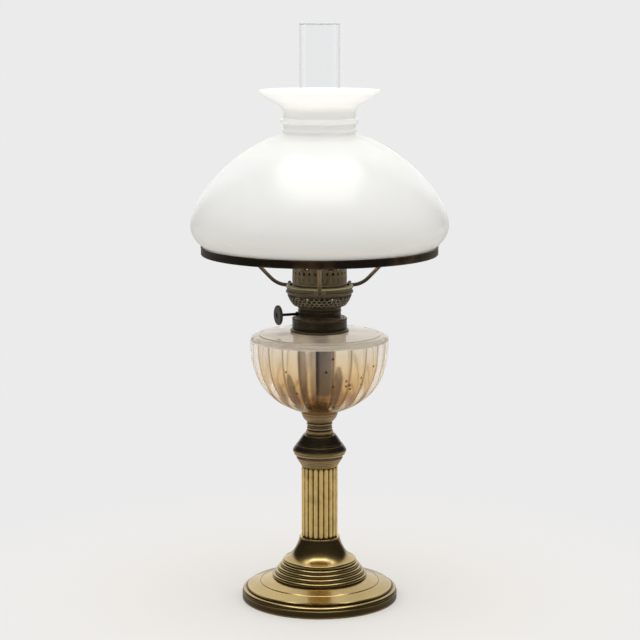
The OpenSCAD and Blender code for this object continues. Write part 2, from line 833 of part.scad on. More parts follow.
// Toothed wheels that climb the wick through the tube's window
module spur_wheels() {
    tip = spur_d / 2;
    root = tip - 0.9;
    color(steel)
    for (side = [-1, 1])
        translate([side * spur_at + spur_t / 2, shaft_y, z_shaft])
        rotate([0, -90, 0])
        linear_extrude(spur_t)
        difference() {
            polygon([
                for (i = [0 : 2 * spur_teeth - 1])
                    let (a = 180 * i / spur_teeth, r = i % 2 == 0 ? tip : root)
                    r * [cos(a), sin(a)]
            ]);
            circle(shaft_d / 2 + set_clear);
        }
}

// Wick: a cotton sleeve, slit below for the air duct
module wick() {
    low = z_font + font_floor + wick_hang;
    slit_w = duct_w + 1.6;
    slit_over = 14;
    color(cotton)
    difference() {
        translate([0, 0, low]) cylinder(r = wick_r, h = z_tube_top + wick_show - low);
        translate([0, 0, low - 1]) cylinder(r = wick_r - wick_t, h = z_tube_top + wick_show - low + 2);
        translate([-slit_w / 2, -wick_r - 1, low - 1])
        cube([slit_w, wick_r + 1, z_duct + duct_h + slit_over - low]);
    }
}

// Gallery: a foot ring, a beaded wall and spring fingers round the chimney
gallery_r = gallery_d / 2;
gallery_flange_h = 2;
module gallery() {
    seat_r = chimney_base_d / 2 - chimney_wall - 1.2;
    seat = z_gallery + gallery_flange_h;
    top = z_gallery + gallery_h;
    color(dark_brass)
    difference() {
        rotate_extrude()
        union() {
            polygon([
                [seat_r, z_gallery], [gallery_r + 1.2, z_gallery], [gallery_r + 1.2, z_gallery + 1.2],
                [gallery_r, seat], [gallery_r, top - 2], [gallery_r + 0.6, top],
                [gallery_r + 0.6 - gallery_wall, top], [gallery_r - gallery_wall, top - 2],
                [gallery_r - gallery_wall, seat], [seat_r, seat]
            ]);
            for (z = [4.4, 6.8])
                translate([gallery_r - 0.1, z_gallery + z])
                circle(0.6, $fn = 32);
        }
        for (i = [0 : finger_count - 1])
            rotate(360 * (i + 0.5) / finger_count)
            translate([gallery_r - 4, -window_w / 2, z_gallery + window_z])
            cube([8, window_w, gallery_h]);
    }
}

// Chimney: a wide base, a drawn-in waist and a straight top
chimney_r = chimney_d / 2;
chimney_waist_r = chimney_waist_d / 2;
chimney_base_r = chimney_base_d / 2;
z_chimney = z_gallery + gallery_flange_h + slide_clear;
chimney_top_z = z_chimney + chimney_h;
chimney_base_h = 38;
z_draw = z_chimney + chimney_base_h;
chimney_out = concat(
    [[chimney_base_r, z_chimney]],
    curve(
        [chimney_base_r, z_draw], [chimney_base_r, z_draw + 14],
        [chimney_waist_r, z_draw + 10], [chimney_waist_r, z_draw + 24], 10
    ),
    back(curve(
        [chimney_r, z_draw + 60], [chimney_r, z_draw + 46],
        [chimney_waist_r, z_draw + 40], [chimney_waist_r, z_draw + 25], 8
    )),
    [[chimney_r, chimney_top_z - 0.6], [chimney_r - 0.5, chimney_top_z]]
);
module chimney() {
    color(clear_glass, 0.4)
    rotate_extrude()
    polygon(concat(chimney_out, back(shifted(chimney_out, chimney_wall))));
}

// Shade holder: a hoop that drops over the gallery, three bent rods and a ring
hoop_r = hoop_d / 2;
hoop_band_r = hoop_r - 0.4;
module holder_hoop() {
    roll_r = 0.9;
    color(brass)
    rotate_extrude()
    union() {
        polygon([
            [hoop_bore_d / 2, z_hoop], [hoop_band_r - 0.3, z_hoop], [hoop_band_r, z_hoop + 0.3],
            [hoop_band_r, z_hoop + hoop_h - 1.6], [hoop_r - 1.4, z_hoop + hoop_h],
            [hoop_bore_d / 2, z_hoop + hoop_h]
        ]);
        translate([hoop_r - roll_r, z_hoop + hoop_h - 1.6]) circle(roll_r);
    }
}

// One rod in its own upright plane: stub, lower bend, straight, upper bend, flat foot
rosette_t = 1.8;
rosette_in = max(hoop_r, rim_centre_r + rim_r) + slide_clear;
arm_start = rosette_in + rosette_t;
arm_z = z_hoop + 1.8;
ring_r = shade_ring_d / 2;
ledge_r = ring_r - shade_ring_wall - ledge_w;
rivet_r = ledge_r + 2.6;
rivet_shank_r = 1.1;
pad_w = 8;
pad_t = 1.6;
arm_climb = z_ring - pad_t / 2 - arm_z;
arm_straight = (arm_climb - (arm_low_bend + arm_high_bend) * (1 - cos(arm_angle))) / sin(arm_angle);
bend_start = arm_start + arm_stub;
low_end = [bend_start + arm_low_bend * sin(arm_angle), arm_low_bend * (1 - cos(arm_angle))];
high_end = [low_end.x + arm_straight * cos(arm_angle) + arm_high_bend * sin(arm_angle), arm_climb];
bend_steps = 7;
arm_sides = 12;
function share(i) = i / bend_steps;
// Each row is a radius, a climb, a slope, and the half width and half height there
arm_rows = concat(
    [[arm_start, 0, 0, arm_d / 2, arm_d / 2]],
    [for (i = [0 : bend_steps])
        let (a = arm_angle * share(i))
        [bend_start + arm_low_bend * sin(a), arm_low_bend * (1 - cos(a)), a, arm_d / 2, arm_d / 2]],
    [for (i = [bend_steps : -1 : 1])
        let (a = arm_angle * share(i), run = arm_high_bend * sin(a), drop = arm_high_bend * (1 - cos(a)))
        [high_end.x - run, high_end.y - drop, a, arm_d / 2, arm_d / 2]],
    [[mix(high_end.x, rivet_r, 0.2), high_end.y, 0, arm_d / 2, arm_d / 2]],
    [[rivet_r - pad_w / 2, high_end.y, 0, pad_w / 2, pad_t / 2]],
    [[rivet_r + pad_w / 2 - 1, high_end.y, 0, pad_w / 2, pad_t / 2]],
    [[rivet_r + pad_w / 2, high_end.y, 0, pad_w / 2 - 1, pad_t / 2]]
);
module holder_arm(turn) {
    rows = len(arm_rows);
    n = arm_sides;
    color(dark_brass)
    rotate(turn)
    difference() {
        translate([0, 0, arm_z])
        polyhedron(
            points = [
                for (row = arm_rows, k = [0 : n - 1])
                    let (a = 360 * (k + 0.5) / n, up = row[4] * sin(a) / cos(180 / n))
                    [row[0] - up * sin(row[2]), row[3] * cos(a), row[1] + up * cos(row[2])]
            ],
            faces = concat(
                [[for (k = [n - 1 : -1 : 0]) k]],
                flipped(skin_faces(rows, n)),
                [[for (k = [0 : n - 1]) (rows - 1) * n + k]]
            )
        );
        translate([rivet_r, 0, z_ring - arm_d - 1]) cylinder(r = rivet_shank_r + set_clear, h = arm_d + 2);
    }
}
arm_front_turn = 240 + holder_turn;
arm_left_turn = 120 + holder_turn;
arm_right_turn = holder_turn;
module holder_arm_front() { holder_arm(arm_front_turn); }
module holder_arm_left() { holder_arm(arm_left_turn); }
module holder_arm_right() { holder_arm(arm_right_turn); }

// Scrolled ornament that joins each rod to the hoop
module arm_rosettes() {
    color(dark_brass)
    for (turn = [arm_front_turn, arm_left_turn, arm_right_turn])
        rotate(turn)
        difference() {
            translate([0, 0, arm_z])
            rotate([90, 0, 90])
            union() {
                translate([0, 0, rosette_in])
                linear_extrude(rosette_t)
                difference() {
                    union() {
                        circle(2.9);
                        translate([0, 2.6]) circle(1.9);
                        for (side = [-1, 1]) {
                            translate([3.6 * side, -0.3]) circle(2.2);
                            translate([1.7 * side, -1.6]) circle(1.5);
                        }
                    }
                    for (side = [-1, 1])
                        translate([3.7 * side, -0.2])
                        circle(0.8, $fn = 32);
                }
                translate([-1.6, -1, hoop_r - 4]) cube([3.2, 1.4, rosette_in - hoop_r + 4]);
            }
            translate([0, 0, z_hoop - 5]) cylinder(r = hoop_band_r + set_clear, h = hoop_h + 10);
        }
}

module shade_ring() {
    roll_r = 0.8;
    roll_z = z_ring + shade_ring_h - roll_r;
    color(dark_brass)
    difference() {
        rotate_extrude()
        union() {
            polygon([
                [ledge_r, z_ring], [ring_r, z_ring], [ring_r, roll_z],
                [ring_r - shade_ring_wall, roll_z], [ring_r - shade_ring_wall, z_ledge], [ledge_r, z_ledge]
            ]);
            translate([ring_r - 0.5, roll_z]) circle(roll_r);
        }
        for (turn = [arm_front_turn, arm_left_turn, arm_right_turn])
            rotate(turn)
            translate([rivet_r, 0, z_ring - 1])
            cylinder(r = rivet_shank_r + set_clear, h = shade_ring_wall + 2);
    }
}

module arm_rivets() {
    head_r = 1.9;
    head_h = 0.9;
    low = z_ring - pad_t - set_clear;
    high = z_ledge + set_clear;
    color(brass)
    for (turn = [arm_front_turn, arm_left_turn, arm_right_turn])
        rotate(turn)
        translate([rivet_r, 0, 0]) {
            translate([0, 0, low]) cylinder(r = rivet_shank_r, h = high - low);
            translate([0, 0, high]) cylinder(r1 = head_r, r2 = head_r - 0.8, h = head_h);
            translate([0, 0, low - head_h]) cylinder(r1 = head_r - 0.8, r2 = head_r, h = head_h);
        }
}

// Shade: lip, rounded belly, dome, ringed neck and flared mouth
fitter_r = ring_r - shade_ring_wall - shade_lip_clear;
shade_r = shade_d / 2;
shade_neck_r = shade_neck_d / 2;
mouth_r = shade_mouth_d / 2;
shade_top_z = z_shade + shade_h;
z_belly = z_shade + 28.1;
z_dome_top = shade_top_z - 48.6;
shade_dome = curve(
    [shade_r, z_belly], [shade_r, z_belly + 21.5],
    [shade_r - 28.5, z_dome_top - 23], [shade_neck_r + 15.4, z_dome_top], 16
);
shade_out = concat(
    [[fitter_r, z_shade]],
    curve(
        [fitter_r, z_shade + 6.6], [fitter_r + 5.2, z_shade + 11.6],
        [shade_r, z_shade + 17.1], [shade_r, z_belly], 8
    ),
    [for (p = shade_dome) if (p.y > z_belly) p],
    [[shade_neck_r + 6, z_dome_top + 2.6], [shade_neck_r + 1.6, z_dome_top + 4]],
    [[shade_neck_r, z_dome_top + 6]],
    curve(
        [shade_neck_r, shade_top_z - 21.6], [shade_neck_r + 0.4, shade_top_z - 13.6],
        [mouth_r - 10.2, shade_top_z - 13.6], [mouth_r, shade_top_z - 0.6 * shade_wall], 12
    )
);
module shade() {
    inner = shifted(shade_out, shade_wall);
    color(opal_glass, 0.9)
    rotate_extrude()
    union() {
        polygon(concat(shade_out, back(inner)));
        translate([shade_neck_r - 0.6, z_dome_top + 9]) circle(1.7);
        translate([shade_neck_r + 0.2, shade_top_z - 30.4]) circle(3);
    }
}

foot();
foot_weight();
tie_rod();
rod_washer();
rod_nut();
foot_bell();
column();
capital();
knop();
font_cup();
peg_plaster();
font();
collar_plaster();
font_collar();
burner_thread_ring();
burner_base();
air_basket();
basket_rim();
wick_tube();
air_tube();
shaft_bush();
wick_shaft();
wick_knob();
spur_wheels();
wick();
gallery();
chimney();
holder_hoop();
holder_arm_front();
holder_arm_left();
holder_arm_right();
arm_rosettes();
shade_ring();
arm_rivets();
shade();
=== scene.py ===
"""Kerosene table lamp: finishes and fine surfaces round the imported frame.

Every turned, pressed or bent piece is a numpy surface that stands for its node, in metres, in the
frame's own place. Outlines are written in millimetres as (radius, height) and run so that the
material lies on their left.
"""

import json

import bmesh
import bpy
import numpy as np
from bpy.props import FloatProperty, FloatVectorProperty, IntProperty, PointerProperty
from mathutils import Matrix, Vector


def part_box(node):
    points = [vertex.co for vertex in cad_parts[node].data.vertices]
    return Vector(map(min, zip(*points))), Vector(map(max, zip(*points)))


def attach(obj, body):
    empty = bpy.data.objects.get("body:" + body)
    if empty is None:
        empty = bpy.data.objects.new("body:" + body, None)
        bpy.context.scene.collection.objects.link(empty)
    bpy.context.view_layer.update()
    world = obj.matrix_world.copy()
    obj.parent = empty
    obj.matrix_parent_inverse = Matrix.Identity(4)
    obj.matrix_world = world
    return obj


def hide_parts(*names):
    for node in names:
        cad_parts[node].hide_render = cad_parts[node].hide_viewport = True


bl_info = {
    "name": "Kerosene Table Lamp",
    "version": (1, 0, 0),
    "blender": (4, 5, 0),
    "location": "View3D > Sidebar > Lamp",
    "description": "Builds the surfaces, finishes and studio of a kerosene table lamp",
    "category": "Object",
}

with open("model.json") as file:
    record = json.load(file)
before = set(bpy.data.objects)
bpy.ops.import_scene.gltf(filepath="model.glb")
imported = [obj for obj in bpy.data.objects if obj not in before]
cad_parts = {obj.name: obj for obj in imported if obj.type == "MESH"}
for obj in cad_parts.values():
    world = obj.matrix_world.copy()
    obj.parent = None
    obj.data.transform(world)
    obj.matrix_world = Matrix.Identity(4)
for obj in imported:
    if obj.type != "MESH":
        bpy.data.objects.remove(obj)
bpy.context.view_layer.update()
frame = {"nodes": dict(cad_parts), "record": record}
MM = 0.001
TURN = 2 * np.pi
BLACK = (0, 0, 0)
# Radius of the hole for the tie rod, in millimetres
ROD_HOLE = 4.4
# Lobes of the font, direction of the first valley, and how strongly its glass bends light
LOBES = 24
LOBE_TURN = np.radians(4.5)
FONT_IOR = 1.32
# Ribs round the wick
WICK_RIBS = 42
# Arms of the shade holder: side and direction in degrees
ARMS = (("front", 247.0), ("left", 127.0), ("right", 7.0))
# Height of the lamp's middle, in metres, which the softboxes face
MIDDLE = 0.3
# Shade ring, in millimetres: how far its band lies inside the widest radius, its sheet, its ledge's width
RING_INSET, RING_WALL, RING_LEDGE = 0.3, 1.1, 9.0
# Dark runs in the font: direction and half width in degrees, height of the top in millimetres, strength
RUNS = (
    (232.1, 3.8, 280.0, 0.95), (243.0, 4.6, 280.0, 0.8), (251.5, 5.0, 280.0, 0.4),
    (219.6, 4.2, 245.0, 0.95), (263.4, 4.4, 254.0, 0.95), (206.4, 3.2, 234.0, 0.8),
    (251.0, 6.0, 222.0, 0.85),
)
# Dark specks in the font's glass: direction in degrees, height in millimetres
SPECKS = (
    (-89.2, 237.5), (-85.0, 232.5), (-88.7, 232.0), (-83.7, 228.5), (-74.5, 239.5), (-71.5, 231.5),
    (-100.5, 232.0), (-135.2, 224.5), (-107.6, 248.0), (-142.4, 246.5), (-102.0, 261.0), (-61.8, 249.5),
)
# Names of the old polish's numbers, in the order in which a metal lists them
POLISH = ("Cover", "Cloud", "Cloud Size", "Groove", "Ridge", "Gloss", "Dull")
# Metals: bright and dark colour, share of the dark one's strength, share of bare metal, old polish
METALS = {
    # Golden brass with brown tarnish in its grooves
    "polished_brass": ("brass", "tarnish", 1.0, 1.0, (0.14, 0.9, 22.0, 2.4, 0.7, 0.17, 0.36)),
    # Duller brass of the column, dark between the reeds
    "column_brass": ("column", "tarnish", 1.0, 0.5, (0.2, 1.3, 90.0, 1.1, 0.5, 0.34, 0.5)),
    # Brown brass of the capital and the cup, brighter on its rings
    "capital_brass": ("capital", "patina", 1.0, 0.6, (0.35, 0.9, 50.0, 3.4, 2.0, 0.24, 0.45)),
    # Brown-black brass, rubbed bright on its ridges, which also paints thin highlight lines on the knop's
    # edges
    "dark_brass": ("brass", "patina", 0.75, 0.7, (1.08, 0.5, 70.0, 2.0, 2.0, 0.16, 0.24)),
    # Dull brown skin of the burner and its holder, rubbed on the ridges
    "burner_brass": ("rubbed", "burner", 1.0, 0.7, (0.9, 1.2, 60.0, 2.0, 1.1, 0.28, 0.4)),
    # Grey-brown skin of the basket, rubbed on the bars between its holes
    "basket_brass": ("casting", "burner", 1.0, 0.5, (0.75, 1.2, 90.0, 2.0, 1.0, 0.3, 0.42)),
    # Dull grey-brown skin of the gallery
    "gallery_brass": ("rubbed", "burner", 1.0, 0.5, (0.75, 1.6, 110.0, 4.0, 2.4, 0.3, 0.42)),
    # Nearly black brown skin of the collar and the burner's waist
    "collar_brass": ("rubbed", "patina", 1.0, 0.8, (0.95, 0.8, 80.0, 2.0, 0.8, 0.24, 0.34)),
    # Brown hoop, its rolled edge rubbed to yellow brass in places, which also paints a yellow highlight line
    # along the roll
    "hoop_brass": ("yellow", "casting", 0.5, 0.5, (1.6, 3.4, 24.0, 2.0, 5.0, 0.24, 0.44)),
    # Brown-black shade ring with coppery patches
    "ring_brass": ("copper", "patina", 0.6, 0.8, (1.05, 3.8, 11.0, 1.0, 0.6, 0.34, 0.46)),
    # Pale grey-brown skin of the cast ornaments
    "cast_brass": ("casting", "burner", 1.0, 0.4, (0.25, 1.4, 150.0, 1.0, 1.0, 0.36, 0.5)),
    # Nearly black skin of the milled knob
    "black_brass": ("steel", "patina", 1.0, 0.6, (0.7, 0.8, 120.0, 1.0, 1.2, 0.3, 0.44)),
    # Dark oxidised steel
    "plain_steel": ("steel", "patina", 1.0, 1.0, (0.45, 0.8, 120.0, 1.0, 1.0, 0.3, 0.5)),
}
# Finish of the pieces that keep their solid, by their slot
INNER_LOOKS = {
    "cast_iron": "cast_iron", "steel": "plain_steel", "plaster": "setting_plaster",
    "dark_brass": "burner_brass", "polished_brass": "polished_brass",
}


# Outlines

def arc(centre, radius, start, stop, steps=18):
    """Points centre + radius (cos a, sin a), for a from start to stop in degrees."""
    a = np.radians(np.linspace(start, stop, steps + 1))
    return np.column_stack([centre[0] + radius * np.cos(a), centre[1] + radius * np.sin(a)])


def cubic(a, b, c, d, steps=28):
    """Cubic curve from a to d, drawn towards the guide points b and c."""
    t = np.linspace(0, 1, steps + 1)[:, None]
    a, b, c, d = (np.asarray(p, float) for p in (a, b, c, d))
    return (1 - t) ** 3 * a + 3 * (1 - t) ** 2 * t * b + 3 * (1 - t) * t**2 * c + t**3 * d


def beads(first, last, count, radius, steps=26):
    """Row of half-round beads between two centres: each is the outer arc up to where it meets the next."""
    first, last = np.asarray(first, float), np.asarray(last, float)
    centres = first + (last - first) * np.linspace(0, 1, count)[:, None]
    pitch = np.hypot(*(last - first)) / (count - 1)
    outward = np.degrees(np.arctan2(*(last - first)[::-1])) - 90
    half = 90 - np.degrees(np.arccos(min(1, pitch / (2 * radius))))
    ring = arc((0, 0), radius, outward - half, outward + half, steps)
    return (centres[:, None, :] + ring[None, :, :]).reshape(-1, 2)


def outline(*runs):
    """One run of (radius, height) points made of shorter ones."""
    return np.vstack([np.atleast_2d(np.asarray(run, float)) for run in runs])


def lengths(points):
    """Length walked from the first point to each of them."""
    return np.r_[0, np.cumsum(np.hypot(*np.diff(points, axis=0).T))]


def walk(points, run, s):
    """Places on an outline after the walked lengths s."""
    return np.column_stack([np.interp(s, run, part) for part in points.T])


def even(points, step):
    """A closed outline walked at an even step, so that its length is the parameter."""
    loop = np.vstack([points, points[:1]])
    run = lengths(loop)
    count = max(12, round(run[-1] / step))
    return walk(loop, run, np.linspace(0, run[-1], count, endpoint=False))


def filled(points, reach):
    """A closed outline with its long edges cut to the given reach, and each point's share of the length."""
    points = points[np.hypot(*(points - np.roll(points, 1, 0)).T) > 1e-4]
    loop = np.vstack([points, points[:1]])
    run = lengths(loop)
    cuts = np.maximum(1, np.ceil(np.diff(run) / reach))
    s = np.interp(np.arange(cuts.sum()), np.r_[0, np.cumsum(cuts)], run)
    return walk(loop, run, s), s / run[-1]


def inset(points, distance):
    """An outline moved to the left of its direction by a distance."""
    along = np.gradient(points, axis=0)
    along /= np.hypot(*along.T)[:, None]
    return points + distance * np.column_stack([-along[:, 1], along[:, 0]])


def relief(points, step, width=1.1):
    """How far the smoothed outline lies outside, in millimetres: above 0 in a groove, below on a ridge."""
    reach = max(2, round(3 * width / step))
    weight = np.exp(-0.5 * (np.arange(-reach, reach + 1) * step / width) ** 2)
    wrapped = np.take(points, np.arange(-reach, len(points) + reach), axis=0, mode="wrap")
    smooth = np.column_stack([np.convolve(part, weight / weight.sum(), "valid") for part in wrapped.T])
    along = np.roll(points, -1, 0) - np.roll(points, 1, 0)
    along /= np.maximum(np.hypot(*along.T), 1e-9)[:, None]
    off = smooth - points
    return off[:, 0] * along[:, 1] - off[:, 1] * along[:, 0]


# Meshes

def around(count, start=0.0):
    """Even directions round the axis, in radians."""
    return np.linspace(start, start + TURN, count, endpoint=False)


def spin(radius, a, z):
    """Points (r cos a, r sin a, z)."""
    return np.stack(np.broadcast_arrays(radius * np.cos(a), radius * np.sin(a), z), -1)


def grid_faces(rows, columns, wrap_rows=True):
    """Four-sided faces between neighbours of a grid that closes round its columns, and its rows if told."""
    i = np.arange(rows if wrap_rows else rows - 1)[:, None] * columns
    j = np.arange(columns)[None, :]
    up, on = (i + columns) % (rows * columns), (j + 1) % columns
    return np.stack([i + j, i + on, up + on, up + j], -1).reshape(-1, 4)


def add_object(name, data):
    """New object in the scene."""
    made = bpy.data.objects.new(name, data)
    bpy.context.scene.collection.objects.link(made)
    return made


def make_piece(name, points, faces, body, node, looks, depth=None, crease=38.0):
    """Mesh object from points in millimetres, set on its body in place of its node.

    Points that no face uses are left out. The depth is an attribute that the finishes read.
    """
    points = MM * points.reshape(-1, 3)
    used = np.arange(len(points))
    if isinstance(faces, np.ndarray):
        used, faces = np.unique(faces, return_inverse=True)
        faces = faces.reshape(-1, 4)
    mesh = bpy.data.meshes.new(name)
    mesh.from_pydata(points[used], [], faces, shade_flat=False)
    if depth is not None:
        layer = mesh.attributes.new("relief", "FLOAT", "POINT")
        layer.data.foreach_set("value", depth.ravel()[used].astype(np.float32))
    mesh.set_sharp_from_angle(angle=np.radians(crease))
    for look in looks.split():
        mesh.materials.append(finish(look))
    piece = add_object(name, mesh)
    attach(piece, body)
    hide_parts(node)
    return piece


def close_poles(piece):
    """Merges the points that lie on one another."""
    work = bmesh.new()
    work.from_mesh(piece.data)
    bmesh.ops.remove_doubles(work, verts=work.verts, dist=1e-6)
    work.to_mesh(piece.data)
    work.free()


def thicken(piece, wall):
    """Sheet of the given thickness, in millimetres, on the inner side of a skin."""
    shell = piece.modifiers.new("sheet", "SOLIDIFY")
    shell.thickness = wall * MM
    shell.offset = -1.0
    shell.use_even_offset = True


def turned(name, profile, body, node, look, reach=None, segments=None, stain=None):
    """Surface of revolution (r cos a, r sin a, z) of a closed outline, its grooves kept as an attribute.

    A stain is a function of radius and height that adds to the grooves.
    """
    mesh = bpy.context.scene.lamp_mesh
    points, share = filled(profile, reach or mesh.reach)
    walked = even(profile, mesh.fine)
    groove = relief(walked, mesh.fine)
    depth = np.interp(share, np.linspace(0, 1, len(walked) + 1), np.r_[groove, groove[0]])
    if stain:
        depth = depth + stain(*points.T)
    a = around(segments or mesh.segments)
    faces = grid_faces(len(points), len(a))
    grid = spin(points[:, :1], a, points[:, 1:])
    make_piece(name, grid, faces, body, node, look, np.repeat(depth, len(a)))


def round_span(node):
    """Radius, lowest and highest place of a round node, in millimetres, from the frame."""
    low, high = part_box(node)
    return high.y / MM, low.z / MM, high.z / MM


# Shader nodes

class Net:
    """Net of shader nodes, with short calls that add a node and return its output."""

    def __init__(self, tree):
        self.tree = tree

    def fill(self, node, inputs):
        """Sets a node's inputs: each is a value, a colour without alpha, or another node's output."""
        for key, value in inputs.items():
            socket = node.inputs[key]
            if isinstance(value, bpy.types.NodeSocket):
                self.tree.links.new(value, socket)
            else:
                socket.default_value = (*value, 1) if socket.type == "RGBA" else value

    def node(self, kind, inputs=None, **settings):
        """Shader node with its settings and its inputs."""
        node = self.tree.nodes.new("ShaderNode" + kind)
        for key, setting in settings.items():
            setattr(node, key, setting)
        self.fill(node, inputs or {})
        return node

    def place(self, space="Object"):
        """Place on the piece, in metres, or the direction of a ray."""
        return self.node("TexCoord").outputs[space]

    def split(self, vector):
        """X, Y and Z of a vector."""
        return self.node("SeparateXYZ", {0: vector}).outputs

    def join(self, x, y):
        """Vector from two numbers."""
        return self.node("CombineXYZ", {"X": x, "Y": y}).outputs[0]

    def maths(self, operation, a, b=0.5, clamp=False):
        """One step of arithmetic."""
        return self.node("Math", {0: a, 1: b}, operation=operation, use_clamp=clamp).outputs[0]

    def times(self, a, b):
        """Product of two numbers."""
        return self.maths("MULTIPLY", a, b)

    def measure(self, operation, a, b=(0, 0, 0)):
        """Length, distance or dot product of vectors."""
        return self.node("VectorMath", {0: a, 1: b}, operation=operation).outputs["Value"]

    def mix(self, factor, a, b, mode="MIX"):
        """Blend of two colours."""
        inputs = {"Factor": factor, 6: a, 7: b}
        return self.node("Mix", inputs, data_type="RGBA", blend_type=mode).outputs[2]

    def spread(self, value, low, high, out_low=0.0, out_high=1.0, kind="SMOOTHSTEP"):
        """Number carried from one range to another, smoothly unless another kind is given."""
        inputs = {"Value": value, "From Min": low, "From Max": high, "To Min": out_low, "To Max": out_high}
        return self.node("MapRange", inputs, interpolation_type=kind).outputs[0]

    def noise(self, vector, scale, detail=4.0, rough=0.55):
        """Cloudy noise about one half."""
        inputs = {"Vector": vector, "Scale": scale, "Detail": detail, "Roughness": rough}
        return self.node("TexNoise", inputs).outputs["Fac"]

    def centred(self, *noise):
        """The same noise about zero."""
        return self.maths("SUBTRACT", self.noise(*noise), 0.5)

    def relief(self):
        """The depth that was kept with the mesh."""
        return self.node("Attribute", attribute_name="relief").outputs["Fac"]

    def bump(self, height, strength, distance):
        """Normal of a surface with a fine relief."""
        inputs = {"Height": height, "Strength": strength, "Distance": distance}
        return self.node("Bump", inputs).outputs[0]

    def rays(self):
        """Whether a ray is glossy, and whether the camera sees by it, also through glass."""
        path = self.node("LightPath").outputs
        shown = self.maths("MAXIMUM", path["Is Camera Ray"], path["Is Transmission Ray"])
        return path["Is Glossy Ray"], shown


def new_material(name):
    """Material with one Principled shader; returns the material, its net and the shader."""
    material = bpy.data.materials.new(name)
    material.use_nodes = True
    return material, Net(material.node_tree), material.node_tree.nodes["Principled BSDF"]


def dimmed(colour, share):
    """A colour at a share of its strength."""
    return share * np.array(colour)


# Finishes: each gives the inputs of its shader

def finish(name):
    """A finish by name, made once from the finish settings."""
    label = name.replace("_", " ")
    made = bpy.data.materials.get(label)
    if made:
        return made
    look = bpy.context.scene.lamp_finish
    material, net, shader = new_material(label)
    inputs = old_metal(net, look, *METALS[name]) if name in METALS else FINISHES[name](net, look)
    net.fill(shader, inputs)
    return material


def polish_group():
    """Old polish: a bright metal on ridges and rubbed places, a dark one in grooves and cloudy patches."""
    tree = bpy.data.node_groups.new("old polish", "ShaderNodeTree")
    sockets = {"INPUT": ("Bright", "Dark", "Relief", *POLISH), "OUTPUT": ("Color", "Roughness", "Height")}
    for side, labels in sockets.items():
        for label in labels:
            kind = "NodeSocketColor" if label in ("Bright", "Dark", "Color") else "NodeSocketFloat"
            tree.interface.new_socket(label, in_out=side, socket_type=kind)
    net = Net(tree)
    given = tree.nodes.new("NodeGroupInput").outputs
    place = net.place()
    groove = net.times(net.maths("MAXIMUM", given["Relief"], 0.0), given["Groove"])
    ridge = net.times(net.maths("MINIMUM", given["Relief"], 0.0), given["Ridge"])
    cloud = net.times(net.centred(place, given["Cloud Size"], 5, 0.62), given["Cloud"])
    pits = net.times(net.spread(net.noise(place, 900.0, 2, 0.6), 0.62, 0.74), 0.1)
    total = net.maths("ADD", net.maths("ADD", groove, ridge), net.maths("ADD", cloud, pits))
    mask = net.maths("ADD", total, given["Cover"], clamp=True)
    smeared = net.maths("ADD", mask, net.times(net.centred(place, 160.0, 3, 0.6), 0.5))
    # Turning marks run round the axis: they change only with radius and height
    x, y, z = net.split(place)
    ring = net.join(net.measure("LENGTH", net.join(x, y)), z)
    net.fill(tree.nodes.new("NodeGroupOutput"), {
        "Color": net.mix(mask, given["Bright"], given["Dark"]),
        "Roughness": net.spread(smeared, 0.0, 1.0, given["Gloss"], given["Dull"], "LINEAR"),
        "Height": net.noise(ring, 1800.0, 3, 0.7),
    })
    return tree


def old_metal(net, look, bright, dark, share, metal, polish):
    """Metal with old polish, from one row of the metals."""
    worn = net.node("Group", node_tree=bpy.data.node_groups.get("old polish") or polish_group())
    colours = {"Bright": getattr(look, bright), "Dark": dimmed(getattr(look, dark), share)}
    net.fill(worn, {**colours, "Relief": net.relief(), **dict(zip(POLISH, polish))})
    return {
        "Base Color": worn.outputs["Color"], "Roughness": worn.outputs["Roughness"], "Metallic": metal,
        "Normal": net.bump(worn.outputs["Height"], 0.02, 0.0002),
    }


def cast_iron(net, look):
    """Rough cast iron, with a sandy skin."""
    place = net.place()
    rust = net.spread(net.noise(place, 35.0, 4, 0.6), 0.5, 0.7)
    return {
        "Base Color": net.mix(rust, (0.045, 0.044, 0.044), (0.11, 0.055, 0.03)), "Metallic": 0.6,
        "Roughness": 0.72, "Normal": net.bump(net.noise(place, 500.0, 4, 0.65), 0.5, 0.0005),
    }


def setting_plaster(net, look):
    """Chalky plaster, stained by oil."""
    place = net.place()
    stain = net.spread(net.noise(place, 120.0, 4, 0.6), 0.45, 0.75)
    return {
        "Base Color": net.mix(stain, (0.68, 0.64, 0.56), (0.42, 0.32, 0.2)), "Roughness": 0.85,
        "Normal": net.bump(net.noise(place, 1500.0, 3, 0.6), 0.3, 0.0003),
    }


def clear_glass(net, look):
    """Thin blown glass, with the faintest dust."""
    dust = net.noise(net.place(), 60.0, 4, 0.6)
    return {
        "Base Color": look.chimney, "Roughness": net.spread(dust, 0.3, 0.8, 0.0, 0.05), "IOR": 1.25,
        "Transmission Weight": 1.0,
    }


def pressed_glass(net, look):
    """Outer face of the font: clear pressed glass, amber low down, with a slightly fire-polished skin."""
    r, low, _ = (MM * length for length in round_span("font"))
    place = net.place()
    wave = net.noise(place, 45.0, 3, 0.5)
    x, y, z = net.split(place)
    colour = net.mix(net.spread(z, low + 0.012, low + 0.04), look.oil, look.font)
    # Specks lie on the wall laid out flat: the direction times the font's radius, and the height
    wall = net.join(net.times(net.maths("ARCTAN2", y, x), r), z)
    for turn, height in SPECKS:
        off = net.measure("DISTANCE", wall, (np.radians(turn) * r, height * MM, 0.0))
        colour = net.mix(net.spread(off, 0.0016, 0.0009), colour, (0.012, 0.006, 0.004))
    return {
        "Base Color": colour, "Roughness": net.spread(wave, 0.3, 0.8, 0.0, 0.06), "IOR": FONT_IOR,
        "Transmission Weight": 1.0, "Normal": net.bump(wave, 0.12, 0.002),
    }


